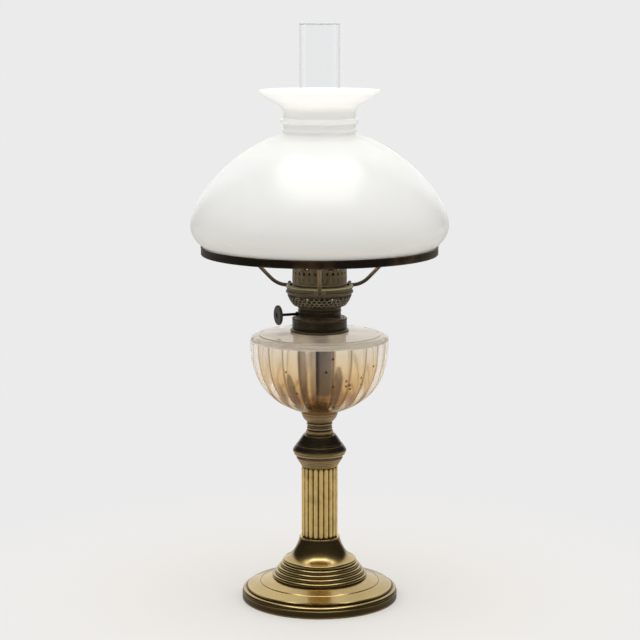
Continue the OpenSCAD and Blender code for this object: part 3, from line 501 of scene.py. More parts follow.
def frosted_glass(net, look):
    """Inner face of the font's shoulder: a pale film with one mauve stain, and a painted glow that stands in
    for the light the film scatters.
    """
    high = round_span("font")[2]
    place = net.place()
    wisp = net.spread(net.noise(place, 90.0, 4, 0.6), 0.4, 0.7, 0.0, 0.5)
    spot = net.measure("DISTANCE", place, (-0.035, 0.006, (high - 16) * MM))
    brown = net.times(net.spread(spot, 0.04, 0.012), 0.5)
    mauve = net.times(net.spread(spot, 0.014, 0.004), 0.9)
    film = net.mix(brown, net.mix(wisp, look.haze, (0.95, 0.88, 0.78)), look.oil)
    clear = net.maths("SUBTRACT", 1.0, net.maths("MAXIMUM", brown, mauve))
    # Painted glow: a warm light that the film gives off where it is not stained
    glow = net.times(net.spread(net.noise(place, 40.0, 3, 0.6), 0.3, 0.7, 0.07, 0.18), clear)
    return {
        "Base Color": net.mix(mauve, film, look.mauve), "Roughness": 0.3, "IOR": FONT_IOR,
        "Transmission Weight": 0.5, "Emission Color": net.mix(glow, BLACK, (1, 0.87, 0.7)),
        "Emission Strength": 1.0,
    }


def stained_glass(net, look):
    """Inner face of the font's bowl: a film of old oil, pale high up, brown low down and in valleys."""
    low, high = round_span("font")[1:]
    place = net.place()
    x, y, z = net.split(place)
    # Streaks run down the wall: the noise is stretched along the height
    streak = net.noise(net.node("Mapping", {"Vector": place, "Scale": (1, 1, 0.12)}).outputs[0], 70.0)
    level = net.maths("ADD", z, net.times(net.maths("SUBTRACT", streak, 0.5), 0.03))
    share = net.spread(level, (low + 10) * MM, (high - 18) * MM, kind="LINEAR")
    ramp = net.node("ValToRGB", {"Fac": share})
    ramp.color_ramp.interpolation = "EASE"
    stops = ramp.color_ramp.elements
    stops[0].position, stops[0].color = 0.04, (*look.dregs, 1)
    stops[1].position, stops[1].color = 0.95, (*look.haze, 1)
    stops.new(0.42).color = (*look.oil, 1)
    stops.new(0.2).color = (*(dimmed(look.oil, 0.55) + dimmed(look.dregs, 0.45)), 1)
    # Oil has dried in the valley between two lobes, wider low down
    lobe = net.times(net.maths("SUBTRACT", net.maths("ARCTAN2", y, x), LOBE_TURN), LOBES / TURN)
    width = net.spread(share, 0.1, 0.8, 0.17, 0.12)
    line = net.spread(net.maths("DIVIDE", net.maths("PINGPONG", lobe, 0.5), width), 1.0, 0.2)
    dried = net.times(line, net.spread(streak, 0.3, 0.6, 0.55, 0.95))
    lined = net.mix(dried, ramp.outputs["Color"], look.dried, "MULTIPLY")
    run = net.times(net.relief(), net.spread(streak, 0.2, 0.7, 0.7, 0.95))
    film = net.mix(run, lined, look.run)
    # Painted glow: the film gives off a little light of its own colour, standing in for the light it
    # scatters
    return {
        "Base Color": film, "Roughness": net.spread(streak, 0.3, 0.8, 0.06, 0.2), "IOR": FONT_IOR,
        "Transmission Weight": 0.93, "Emission Color": net.mix(0.13, BLACK, film), "Emission Strength": 1.0,
    }


def opal_glass(net, look):
    """Milk-white opal glass with a clear gloss, faint cords in the glass, and a painted glow near its neck
    and mouth.
    """
    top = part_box("shade")[1].z
    place = net.place()
    cloud = net.spread(net.noise(place, 9.0, 3, 0.5), 0.35, 0.7)
    # Painted glow: the glass gives off a little light near the neck and mouth, as if lit through
    glow = net.spread(net.split(place)[2], top - 0.075, top - 0.045)
    return {
        "Base Color": net.mix(cloud, look.opal, dimmed(look.opal, 0.985)),
        "Roughness": net.spread(net.noise(place, 30.0, 3), 0.3, 0.8, 0.2, 0.28), "IOR": 1.5,
        "Emission Color": net.mix(glow, BLACK, dimmed(look.opal, 0.08)), "Emission Strength": 1.0,
        "Subsurface Weight": 0.9, "Subsurface Radius": (1.0, 0.95, 0.85), "Subsurface Scale": 0.016,
        "Normal": net.bump(net.noise(place, 14.0, 2, 0.4), 0.05, 0.004),
    }


def woven_cotton(net, look):
    """Oil-soaked cotton: ribs along the wick and weft across it, charred at the top."""
    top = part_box("wick")[1].z
    place = net.place()
    x, y, z = net.split(place)
    rib = net.maths("SINE", net.times(net.maths("ARCTAN2", y, x), WICK_RIBS))
    weft = net.maths("SINE", net.times(z, TURN / 0.0016))
    weave = net.maths("ADD", net.times(rib, 0.6), net.times(weft, 0.4))
    soak = net.spread(net.noise(place, 60.0, 4, 0.6), 0.35, 0.7)
    wet = net.mix(soak, look.wick, dimmed(look.wick, 0.6))
    threaded = net.mix(net.spread(weave, -1, 1, 0.35, 0.0), wet, (0.03, 0.022, 0.016))
    charred = net.mix(net.spread(z, top - 0.006, top - 0.002), threaded, (0.008, 0.007, 0.006))
    return {"Base Color": charred, "Roughness": 0.8, "Normal": net.bump(weave, 0.5, 0.0004)}


FINISHES = {
    "cast_iron": cast_iron, "setting_plaster": setting_plaster, "clear_glass": clear_glass,
    "pressed_glass": pressed_glass, "frosted_glass": frosted_glass, "stained_glass": stained_glass,
    "opal_glass": opal_glass, "woven_cotton": woven_cotton,
}


# Settings

def colour(name, description, default):
    """A colour that the finish panel shows."""
    return FloatVectorProperty(
        name=name, description=description, subtype="COLOR", size=3, min=0, max=1, default=default
    )


def number(name, description, default, **limits):
    """A number that the panel shows, with its unit or its limits."""
    return FloatProperty(name=name, description=description, default=default, **limits)


class LampFinish(bpy.types.PropertyGroup):
    """Colours of the lamp's metals, glasses and wick."""

    brass: colour("Brass", "Polished brass of the stand", (0.60, 0.45, 0.20))
    tarnish: colour("Tarnish", "Brown tarnish in the stand's grooves", (0.11, 0.078, 0.032))
    column: colour("Column brass", "Dull brass of the column", (0.95, 0.68, 0.26))
    capital: colour("Capital brass", "Brown brass of the capital and cup", (0.52, 0.37, 0.18))
    rubbed: colour("Rubbed brass", "Rubbed ridges of dark pieces", (0.30, 0.23, 0.12))
    patina: colour("Patina", "Brown-black skin of dark pieces", (0.055, 0.042, 0.028))
    burner: colour("Burner brass", "Dull brown skin of the burner", (0.085, 0.068, 0.044))
    # Yellow brass of the hoop's roll: bare brass, and also a painted highlight along it
    yellow: colour("Yellow brass", "Bare rolled edge of the hoop", (0.62, 0.5, 0.2))
    casting: colour("Cast brass", "Skin of the cast ornaments", (0.34, 0.29, 0.21))
    copper: colour("Copper patches", "Worn patches of the shade ring", (0.32, 0.19, 0.10))
    steel: colour("Steel", "Shaft and fasteners", (0.09, 0.088, 0.085))
    font: colour("Font glass", "Clear glass of the font", (0.86, 0.83, 0.77))
    haze: colour("Oil haze", "Pale film under the font's shoulder", (0.80, 0.74, 0.66))
    oil: colour("Oil stain", "Amber stain in the font", (0.76, 0.54, 0.26))
    dried: colour("Dried oil", "Tint of the font's valleys", (0.30, 0.20, 0.13))
    run: colour("Oil runs", "Dark runs of old oil in the font", (0.045, 0.027, 0.022))
    mauve: colour("Mauve stain", "Stain beside the collar", (0.42, 0.11, 0.11))
    dregs: colour("Dregs", "Brown stain at the font's bottom", (0.20, 0.085, 0.026))
    chimney: colour("Chimney glass", "Clear glass of the chimney", (0.985, 0.99, 0.99))
    opal: colour("Opal glass", "White glass of the shade", (0.90, 0.90, 0.87))
    wick: colour("Wick", "Oil-soaked cotton", (0.44, 0.35, 0.27))


class LampMesh(bpy.types.PropertyGroup):
    """Fineness of the lamp's surfaces."""

    segments: IntProperty(
        name="Segments", description="Steps round a turned piece", default=320, min=48, max=400
    )
    fine: number("Fine step", "Step that measures grooves, in millimetres", 0.32, min=0.2, max=2)
    reach: number("Reach", "Longest step along an outline, in millimetres", 2.0, min=1, max=6)
    lobe_steps: IntProperty(
        name="Lobe steps", description="Steps across one lobe", default=16, min=8, max=24
    )


class LampStage(bpy.types.PropertyGroup):
    """Camera and studio light."""

    camera_angle: number("Camera angle", "Turn of the camera about the lamp, in degrees", -23.0)
    camera_drop: number("Camera drop", "Downward look, in degrees", 9.1)
    camera_reach: number("Camera reach", "Distance to the lamp", 2.022, unit="LENGTH")
    look_height: number("Look height", "Height looked at", 0.28919, unit="LENGTH")
    top_light: number("Top light", "Power of the softbox above", 11.0, unit="POWER")
    side_light: number("Side light", "Power of each side softbox", 1.5, unit="POWER")
    backdrop: number("Backdrop", "Brightness of the backdrop", 0.83, min=0, max=1)


# Stand

def make_foot():
    """Upright band, quarter-round border, slope with an engraved line, bead rings."""
    r, _, high = round_span("foot")
    wall, web, band, bead, line, ring_r = 2.4, 3.0, 8.0, 2.4, 60.8, 48.5
    slope_r, slope_z, slope_top = r - 6.5, band + 6.5, 23.0
    low = np.array([ring_r - bead, slope_top + 0.5 * bead])
    top = np.array([round_span("foot_bell")[0] + 0.3, high - 1.5 * bead])

    def slope(x, drop=0.0):
        """Point on the slope at a radius, or below it."""
        return x, slope_z + (slope_top - slope_z) * (slope_r - x) / (slope_r - low[0]) - drop

    def stain(x, z):
        """Dirt on the band, the step over it darkened, and painted shade on the bead rings, as if the bell
        and each next bead shaded them.
        """
        step = (x > slope_r + 0.6) & (z < slope_z - 0.2)
        # Painted shade: the bead rings are darkened where the bell and the next bead would shade them
        rings = (x < ring_r + 0.1) & (z > slope_top)
        return 0.22 * ((x > r - 1) & (z < band + 2)) + 0.2 * step + 0.24 * rings

    profile = outline(
        (r - wall, 0.4), (r - wall + 0.4, 0), (r - 0.6, 0), (r, 0.6), (r, band - 0.4), (r - 0.4, band),
        (r - 0.9, band + 0.3), arc((r - 3.4, band + 0.8), 2.9, 0, 90), (slope_r + 1.4, band + 3.7),
        (slope_r + 0.9, slope_z - 0.6), (slope_r, slope_z), slope(line + 0.6), slope(line, 0.6),
        slope(line - 0.6), slope(low[0] + 1.2), beads(low, top, 4, bead), (top[0], high), (ROD_HOLE, high),
        (ROD_HOLE, high - web), (top[0] - bead - 0.3, high - web), slope(low[0] - 1, 1.2 * wall),
        slope(slope_r - 1, 1.2 * wall), (r - wall, band - 1),
    )
    turned("foot_turned", profile, "stand", "foot", "polished_brass", stain=stain)


def make_bell():
    """Small cushion that runs tangentially into one concave sweep, with a bead at the top."""
    r, low, high = round_span("foot_bell")
    cushion, top_r, lip, wall, bead, lean = 1.8, 20.3, 1.6, 1.4, 0.9, 66
    start, stop = np.radians(lean), np.radians(19)
    at, top = np.array([r - cushion, low + 1.2]), np.array([top_r, high - lip])
    foot = at + cushion * np.array([np.cos(start), np.sin(start)])
    span = np.hypot(*(top - foot))
    sweep = cubic(
        foot, foot + 0.3 * span * np.array([-np.sin(start), np.cos(start)]),
        top + 0.53 * span * np.array([np.sin(stop), -np.cos(stop)]), top, 48,
    )
    inside = inset(sweep, wall)
    profile = outline(
        (r, low), arc(at, cushion, 0, lean), sweep[1:], arc((top_r - 0.3, high - bead), bead, -60, 90),
        (ROD_HOLE, high), (ROD_HOLE, high - lip), inside[::-1], (inside[0, 0], low),
    )
    turned("bell_turned", profile, "stand", "foot_bell", "polished_brass")


def make_capital():
    """Fine rings up a flare, closed by one bead, which is left brighter."""
    r, low, high = round_span("capital")
    bore, seat, ring, bead = 13.0, 18.7, 1.2, 1.5
    at = np.array([r - bead, high - bead - 0.05])
    profile = outline(
        (bore, low), (seat, low), (seat, low + 1),
        beads((seat - 0.1, low + 2.6), (r - 3.8, high - 6.4), 4, ring), at + [-0.6, -bead],
        arc(at, bead, -80, 90), (bore, high),
    )
    turned(
        "capital_turned", profile, "stand", "capital", "capital_brass",
        stain=lambda x, z: -0.3 * (z > at[1] - bead),
    )


def make_knop():
    """Upright band, a cone with one step, and a ledge under the neck."""
    r, low, high = round_span("knop")
    top, lip = 14.3, 0.5
    band, ledge = np.array([r, low + 2.2]), np.array([top + 2.4, high - 2.2])
    mid = band + 0.39 * (ledge - band)
    profile = outline(
        (ROD_HOLE, low), (r - 0.4, low), (r, low + 0.4), band, mid + [lip, -lip], mid + [-lip, -lip],
        mid + [-lip, lip], ledge, ledge + [-0.3, 0.5], (top, ledge[1] + 0.9), (top, high), (ROD_HOLE, high),
    )
    turned("knop_turned", profile, "stand", "knop", "dark_brass")


def make_cup():
    """Ringed neck and a flared cup with a socket for the glass peg."""
    r, low, high = round_span("font_cup")
    bore, neck, flare, socket = 4.05, 12.5, high - 11, high - 7.4
    profile = outline(
        (bore, low), (neck + 0.4, low), arc((neck + 0.4, low + 1.2), 1.2, -90, 90), (neck, low + 2.6),
        arc((neck - 0.1, low + 4.8), 0.8, -90, 90), (neck, low + 6.2), (neck, flare - 2.4),
        arc((neck - 0.1, flare - 1.2), 0.9, -90, 90),
        cubic((neck, flare), (neck + 1, flare + 2.4), (r - 1.4, flare + 3.6), (r - 0.6, high - 2.2)),
        arc((r - 1.1, high - 1.1), 1.1, -60, 90), (r - 3.6, high), (neck - 1.5, socket), (bore, socket),
    )
    turned("cup_turned", profile, "stand", "font_cup", "capital_brass")


def make_column():
    """Reed of radius p on a circle of radius c: r = c cos a + sqrt(p^2 - c^2 sin^2 a), over a plain core."""
    r, low, high = round_span("column")
    count, across, bore, reed, tip, dirt_reach = 20, 18, 13.0, 2.5, 3.4, 2.5
    centre = r - reed
    core = centre + 0.3
    rounding = tip * (1 - np.cos(np.linspace(0, np.pi / 2, 14)))
    z = np.unique(np.r_[low + rounding, np.linspace(low + tip, high - tip, 24), high - rounding])
    a = around(count * across)
    offset = (a + np.pi / count) % (TURN / count) - np.pi / count
    end = np.clip(1 - np.minimum(z - low, high - z) / tip, 0, 1)
    half = (reed * np.sqrt(1 - end**2))[:, None]
    side = centre * np.sin(offset)[None, :]
    ridge = centre * np.cos(offset) + np.sqrt(np.maximum(half**2 - side**2, 0))
    radius = np.where(np.abs(side) < half, np.maximum(ridge, core), core)
    radius = np.vstack([np.full_like(a, bore), radius, np.full_like(a, bore)])
    height = np.r_[low, z, high][:, None]
    dirt = 0.5 * np.exp(-np.minimum(height - low, high - height) / dirt_reach)
    depth = np.clip(0.8 * (r - 0.7 - radius), -0.4, 1) + dirt
    faces = grid_faces(len(radius), len(a))
    grid = spin(radius, a, height)
    make_piece("column_reeded", grid, faces, "stand", "column", "column_brass", depth)


# Font

def make_font():
    """Lobes: r - depth share (2 u - 1)^2, where u runs from 0 to 1 across each lobe."""
    r, low, high = round_span("font")
    across, depth, wall = bpy.context.scene.lamp_mesh.lobe_steps, 1.7, 2.8
    peg_top, shoulder, collar = 195.0, 268.2, 278.2
    peg_foot, peg_r, bowl_r, bore, neck, rim = 10.0, 14.4, 18.4, 17.7, 21.4, r - 8.2
    base = peg_top + 0.2
    full = base + 0.223 * (shoulder - base)
    bowl = cubic((bowl_r, base), (0.495 * r, peg_top + 6.6), (r, full), (r, shoulder), 90)
    edge = (rim, shoulder + 6.4)
    brow = cubic((r, shoulder), (r, shoulder + 4.6), (r - 2.6, shoulder + 6.2), edge, 26)[1:]
    roll = cubic(
        edge, (rim - 0.4, shoulder + 7.8), (rim - 1.6, shoulder + 7.6), (rim - 2.4, shoulder + 7.1), 8
    )
    cone = np.linspace((rim - 4, shoulder + 7.2), (neck + 1.6, collar - 0.2), 26)
    outside = outline(
        (0, low), (peg_foot, low), (peg_foot + 0.3, low + 0.3), (peg_r, peg_top), bowl, brow, roll[1:],
        cone, (neck, collar + 1.2), (neck, high - 0.4), (neck - 0.4, high),
    )
    floor = inset(bowl, wall)[6::2]
    vault = cubic(floor[-1], floor[-1] + [0, 2.4], (rim, shoulder + 2.8), (rim - 4, shoulder + 3), 16)
    inside = outline(
        (bore, high), (bore, collar - 2), vault[::-1], floor[-2::-1], floor[0] * [0.5, 1],
        floor[0] * [0, 1],
    )
    profile = outline(outside, inside)
    fade = np.linspace(1, 0, len(brow) + 1)[1:]
    lobed = np.r_[np.minimum(1, (bowl[:, 0] / r * 1.25) ** 2), fade**2 * (3 - 2 * fade)]
    share = np.zeros(len(profile))
    peg_rows = 4
    share[peg_rows : peg_rows + len(lobed)] = lobed
    k = np.arange(LOBES * across)
    a = TURN * k / len(k) + LOBE_TURN
    u = (k % across) / across
    radius = np.maximum(profile[:, :1] - depth * share[:, None] * (2 * u - 1) ** 2, 0)
    faces = grid_faces(len(profile), len(k), wrap_rows=False)
    font = make_piece(
        "font_pressed", spin(radius, a, profile[:, 1:]), faces, "stand", "font",
        "pressed_glass stained_glass frosted_glass", oil_runs(np.degrees(a), profile[:, 1:]), 60.0,
    )
    row = np.arange(len(profile) - 1)
    skin = np.where(row < len(outside), 0, np.where(row < len(outside) + len(vault), 2, 1))
    font.data.polygons.foreach_set("material_index", np.repeat(skin, len(k)).astype(np.int32))
    close_poles(font)


def oil_runs(turn, z):
    """Strength of the runs of old oil at directions in degrees and heights; each run tapers to its top."""
    taper, blur = 14, 1.8
    dark = np.zeros(np.broadcast_shapes(turn.shape, z.shape))
    for at, half, top, strength in RUNS:
        off = np.abs((turn - at + 180) % 360 - 180)
        wide = half * np.sqrt(np.clip((top - z) / taper, 0, 1))
        dark = np.maximum(dark, strength * np.clip((wide - off) / blur + 0.5, 0, 1) * (z < top))
    return dark


# Burner

def make_collar():
    """Flanged skirt, rolled edge, sunk floor and threaded sleeve."""
    r, low, high = round_span("font_collar")
    base, band, wall, roll, sleeve, floor = low + 0.2, r - 2.3, 1.2, 1.7, 16.1, high - 3.6
    at = (r - 3.7, high - roll)
    profile = outline(
        (band - wall, low), (r - 0.6, low), (r, base + 0.6), (r - 0.1, base + 1.4), (r - 0.6, base + 2),
        (band + 0.3, base + 2.6), (band, base + 3.2), (band, at[1] - 1.0), arc(at, roll, -30, 170),
        (band - wall, floor + 0.6), (band - wall - 0.4, floor), (sleeve, floor), (sleeve, base + 2),
        (sleeve + wall, base + 2), (sleeve + wall, floor - wall), (band - wall, floor - wall),
    )
    turned("collar_turned", profile, "stand", "font_collar", "collar_brass")


def make_base():
    """Spigot, flange, waist with a ring bead, and the plate round the wick tube."""
    r, low, high = round_span("burner_base")
    spigot, waist, wall, tube, foot = 14.65, 21.6, 1.1, 10.55, 289.3
    profile = outline(
        (spigot - 1, low), (spigot, low), (spigot, foot), (r - 0.4, foot), (r, foot + 0.4), (r, foot + 2.6),
        (r - 0.4, foot + 3), (r - 1.6, foot + 4.4), (waist + 0.2, foot + 5.2), (waist, foot + 5.8),
        (waist, high - 4.6), arc((waist - 0.3, high - 3.4), 0.8, -70, 70), (waist, high - 2.2),
        (waist, high - 1), (waist + 0.6, high), (waist - wall, high), (waist - wall, foot + 1),
        (tube, foot + 1), (tube, foot), (spigot - 1, foot),
    )
    turned("base_turned", profile, "burner", "burner_base", "collar_brass")


def make_rim():
    """Rolled rim and the deck that carries the gallery."""
    r, low, high = round_span("basket_rim")
    roll, deck, bore, throat = 1.4, high - 0.2, 24.0, 30.7
    profile = outline(
        (throat, low), arc((r - roll, low + roll), roll, -90, 90), (r - roll - 0.6, deck), (bore, deck),
        (bore, deck - 1), (throat, deck - 1),
    )
    turned("rim_rolled", profile, "burner", "basket_rim", "burner_brass")


def make_basket():
    """Cells of a staggered lattice, each a square patch with a round hole, laid on the basket's outline."""
    r, low, high = round_span("air_basket")
    waist, holes, rows, wall, side, rings = 21.8, 38, 4, 1.1, 6, 3
    bend = low + 0.45 * (high - low)
    curve = cubic((waist, low), (waist + 3.2, low + 1.4), (r - 1.6, bend), (r, high), 120)
    run = lengths(curve)
    first, last = 0.24 * run[-1], 0.9 * run[-1]
    # Edge of a unit cell, point by point, and the hole inside it
    t = np.arange(side) / side - 0.5
    half = np.full(side, 0.5)
    edge = np.vstack([np.column_stack(pair) for pair in ((t, -half), (half, t), (-t, half), (-half, -t))])
    a = np.arctan2(edge[:, 1], edge[:, 0])
    # Holes grow from row to row, as shares of their cell
    size = np.linspace(0.28, 0.36, rows)[:, None, None, None]
    hole = size * np.column_stack([0.86 * np.cos(a), 1.1 * np.sin(a)])
    ring = np.linspace(0, 1, rings + 1)[:, None, None]
    cell = hole * (1 - ring) + edge * ring
    i, j = np.meshgrid(np.arange(holes), np.arange(rows), indexing="ij")
    i, j = i[..., None, None], j[..., None, None]
    u = (i + j / 2 + cell[None, ..., 0]) / holes
    s = first + (last - first) / rows * (j + 0.5 + cell[None, ..., 1])
    # The bars between the holes are rubbed, the holes' edges are dark
    worn = np.broadcast_to(0.3 - 0.7 * ring[None, None, ..., 0], u.shape).ravel()
    patch = grid_faces(rings + 1, len(edge), wrap_rows=False)
    starts = (rings + 1) * len(edge) * np.arange(holes * rows)
    flat = [np.column_stack([u.ravel(), s.ravel()])]
    faces = [(patch[None] + starts[:, None, None]).reshape(-1, 4)]
    total = len(flat[0])
    # Plain bands below and above the lattice
    for start, stop, steps in ((0.0, first, 14), (last, run[-1], 4)):
        across = (np.arange(holes * side) / side - 0.5) / holes
        u, s = np.meshgrid(across, np.linspace(start, stop, steps + 1))
        flat.append(np.column_stack([u.ravel(), s.ravel()]))
        faces.append(grid_faces(steps + 1, holes * side, wrap_rows=False) + total)
        total += len(flat[-1])
    u, s = np.vstack(flat).T
    radius, height = walk(curve, run, s).T
    basket = make_piece(
        "basket_pierced", spin(radius, TURN * u, height), np.vstack(faces), "burner", "air_basket",
        "basket_brass", np.r_[worn, np.zeros(total - len(worn))], 50.0,
    )
    close_poles(basket)
    thicken(basket, wall)


def make_gallery():
    """Skin r(z) round the axis, plus a low pressed pattern; the faces in windows and eyes are left out."""
    edge, low, high = round_span("gallery")
    r, wall, fingers, across, window, sill = edge - 1.2, 1.0, 14, 24, 6.2, 22.0
    seat, eye_z, eye_across, eye_up = 22.9, 18.4, 1.3, 1.8
    leaf_low, leaf_high, pressed = 9, 16, 0.16
    profile = outline(
        (seat, low), (edge - 0.3, low), (edge, low + 0.3), (edge, low + 1.2), (r, low + 2), (r, low + 3.6),
        arc((r - 0.1, low + 4.4), 0.6, -80, 80, 8), (r, low + 5.6),
        arc((r - 0.1, low + 6.8), 0.6, -80, 80, 8), np.linspace((r, low + 8), (r, high - 2), 46),
        (r + 0.6, high),
    )
    a = around(fingers * across)
    u = (a * fingers / TURN) % 1
    z = profile[:, 1:] - low
    band = np.clip(np.minimum(z - leaf_low, leaf_high - z), 0, 1)
    rise = np.pi * (z - leaf_low) / (leaf_high - leaf_low)
    leaf = np.cos(2 * TURN * u) * np.sin(rise) + 0.6 * np.cos(4 * TURN * u + 0.9 * z)
    radius = profile[:, :1] + pressed * band * np.tanh(2 * leaf)
    faces = grid_faces(len(profile), len(a), wrap_rows=False)
    row, column = np.divmod(faces[:, 0], len(a))
    up, pitch = z[row, 0], TURN * r / fingers
    in_window = np.abs(((column + 0.5) / across) % 1 - 0.5) < 0.5 * window / pitch
    beside = np.abs(((column + 0.5) * 2 / across) % 1 - 0.5) * 0.5 * pitch
    in_eye = (beside / eye_across) ** 2 + ((up - eye_z) / eye_up) ** 2 < 1
    keep = ~(in_eye | (in_window & (up > sill)))
    gallery = make_piece(
        "gallery_pierced", spin(radius, a, profile[:, 1:]), faces[keep], "gallery", "gallery",
        "gallery_brass", 0.6 * (r - 0.2 - radius) * (z > 2.5), 50.0,
    )
    thicken(gallery, wall)


def make_wick_drive():
    """Milled knob and plain shaft, both turned about the shaft."""
    low, high = (np.array(corner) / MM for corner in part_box("wick_knob"))
    at = np.array([low[0], 0.5 * (low[1] + high[1]), 0.5 * (low[2] + high[2])])
    shaft, thick, r = 1.4, 2.8, 0.5 * (high[1] - low[1])
    knob = outline(
        (shaft + 0.05, 0.9), (shaft + 1.8, 0.9), (shaft + 1.3, 0.2), (shaft + 1.4, 0), (r - 1.7, 0),
        (r - 0.8, 0), (r, 0.7), (r, thick - 0.6), (r - 0.6, thick), (shaft + 1.5, thick),
        (shaft + 1.5, thick + 2.4), (shaft + 0.05, thick + 2.4),
    )
    spun("knob_milled", knob, at, r, 36, "wick_knob", "black_brass")
    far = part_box("wick_shaft")[1].x / MM - at[0]
    spindle = outline(
        (0, 0.6), (shaft - 0.3, 0.6), (shaft, 0.9), (shaft, far - 0.3), (shaft - 0.3, far), (0, far)
    )
    spun("shaft_turned", spindle, at, r, 0, "wick_shaft", "plain_steel")


def spun(name, profile, at, edge, notches, node, look):
    """Outline (radius, depth) turned about the shaft; the edge dips by a milled ripple."""
    step, dip = 0.3, 0.35
    points = even(profile, step)
    a = around(8 * notches if notches else 32)
    ripple = dip * np.abs(np.sin(0.5 * notches * a)) ** 0.5 - dip if notches else 0 * a
    rim = np.clip((points[:, :1] - edge + 1.2) / 0.6, 0, 1)
    radius = np.maximum(points[:, :1] + ripple * rim, 0)
    # The shaft lies along X, so the turned grid's height comes first
    grid = at + np.roll(spin(radius, a, points[:, 1:]), 1, -1)
    faces = grid_faces(len(points), len(a))[:, ::-1]
    depth = np.repeat(relief(points, step), len(a))
    close_poles(make_piece(name, grid, faces, "wick_drive", node, look, depth))


def make_wick():
    """Sleeve r + ribs cos(n a), with the faces of the slit left out and a sheet's thickness inwards."""
    r, low, high = round_span("wick")
    wall, slit, slit_top, rib, weft, slack, fray = 2.1, 6.4, 327.5, 0.1, 3.2, 0.12, 1.2
    a = around(6 * WICK_RIBS, -np.pi / 2)
    z = np.linspace(low, high, 90)[:, None]
    frayed = np.clip((z - high + fray) / fray, 0, 1)
    radius = r - slack + rib * np.cos(WICK_RIBS * a) * np.cos(TURN * z / weft) - slack * frayed
    faces = grid_faces(len(z), len(a), wrap_rows=False)
    row, column = np.divmod(faces[:, 0], len(a))
    offset = np.abs((column + 0.5 + len(a) / 2) % len(a) - len(a) / 2) * TURN / len(a)
    keep = ~((offset < 0.5 * slit / r) & (z[row, 0] < slit_top))
    grid = spin(radius, a, z)
    wick = make_piece("wick_woven", grid, faces[keep], "wick", "wick", "woven_cotton", crease=70.0)
    thicken(wick, wall)


# Shade holder and glass

def make_hoop():
    """Band with a rolled upper edge."""
    r, low, high = round_span("holder_hoop")
    bore, roll = 30.5, 0.9
    profile = outline(
        (bore, low), (r - 0.7, low), (r - 0.4, low + 0.3), (r - 0.4, high - 2.6),
        arc((r - roll, high - 1.6), roll, -60, 80), (r - 1.4, high), (bore, high),
    )
    # Painted highlight: the band and the top of the roll are darkened, so a yellow line along the roll stays
    # bright
    turned(
        "hoop_rolled", profile, "shade_holder", "holder_hoop", "hoop_brass",
        stain=lambda x, z: 0.3 * ((z > high - 0.6) | (z < high - 2.4)),
    )


def make_ring():
    """Upright band with a ledge inside it and a rolled upper edge."""
    r, low, high = round_span("shade_ring")
    band, roll = r - RING_INSET, 0.8
    inner = band - RING_WALL
    at = (band - 0.5, high - roll)
    profile = outline(
        (inner - RING_LEDGE, low), (band - 0.5, low), (band, low + 0.5), (band, at[1] - 0.6),
        arc(at, roll, -50, 230), (inner, at[1] - 0.7), (inner, low + RING_WALL + 0.3),
        (inner - 0.3, low + RING_WALL), (inner - RING_LEDGE, low + RING_WALL),
    )
    turned("ring_rolled", profile, "shade_holder", "shade_ring", "ring_brass")


def make_arm(side, turn):
    """Round rod carried along stub, lower bend, straight and upper bend, ending in a flat riveted foot."""
    ring_r, ring_z, _ = round_span("shade_ring")
    start, stub, low_bend, high_bend, slope = 36.2, 4.0, 28.0, 52.0, np.radians(39.0)
    rod, pad_w, pad_t, sides = 1.9, 4.0, 0.8, 24
    base = round_span("holder_hoop")[1] + 1.8
    climb = ring_z - pad_t - base
    rivet = ring_r - RING_INSET - RING_WALL - RING_LEDGE + 2.6
    straight = (climb - (low_bend + high_bend) * (1 - np.cos(slope))) / np.sin(slope)
    # Path as (distance from the axis, height, slope), then the rod's half width and half height
    a = np.linspace(0, slope, 16)
    b = a[::-1]
    lower = np.column_stack([start + stub + low_bend * np.sin(a), low_bend * (1 - np.cos(a)), a])
    top_x = lower[-1, 0] + straight * np.cos(slope) + high_bend * np.sin(slope)
    upper = np.column_stack([top_x - high_bend * np.sin(b), climb - high_bend * (1 - np.cos(b)), b])
    flat = rivet + np.array([-4, -2, 1, 3, 3.7, 4])
    pad = np.column_stack([flat, np.full(6, climb), np.zeros(6)])
    path = np.vstack([[start, 0, 0], lower, upper, pad])
    wide = np.r_[np.full(len(path) - 6, rod), pad_w * np.array([0.8, 0.95, 1, 0.85, 0.6, 0.3])]
    tall = np.r_[np.full(len(path) - 6, rod), np.full(6, pad_t)]
    c = around(sides)
    out, climbed, lean = (path[:, n, None] for n in range(3))
    up = tall[:, None] * np.sin(c)
    x = out - up * np.sin(lean)
    y = wide[:, None] * np.cos(c)
    z = base + climbed + up * np.cos(lean)
    grid = np.stack([x * np.cos(turn) - y * np.sin(turn), x * np.sin(turn) + y * np.cos(turn), z], -1)
    ends = np.stack([np.arange(sides), (len(path) - 1) * sides + np.arange(sides)[::-1]])
    faces = grid_faces(len(path), sides, wrap_rows=False)[:, ::-1].tolist() + ends.tolist()
    worn = 0.06 - 0.8 * np.clip((climbed - 4) / 16, 0, 1) + 0.1 * np.sin(c)
    make_piece(
        "arm_bent_" + side, grid, faces, "shade_holder", "holder_arm_" + side, "burner_brass",
        worn, 45.0,
    )


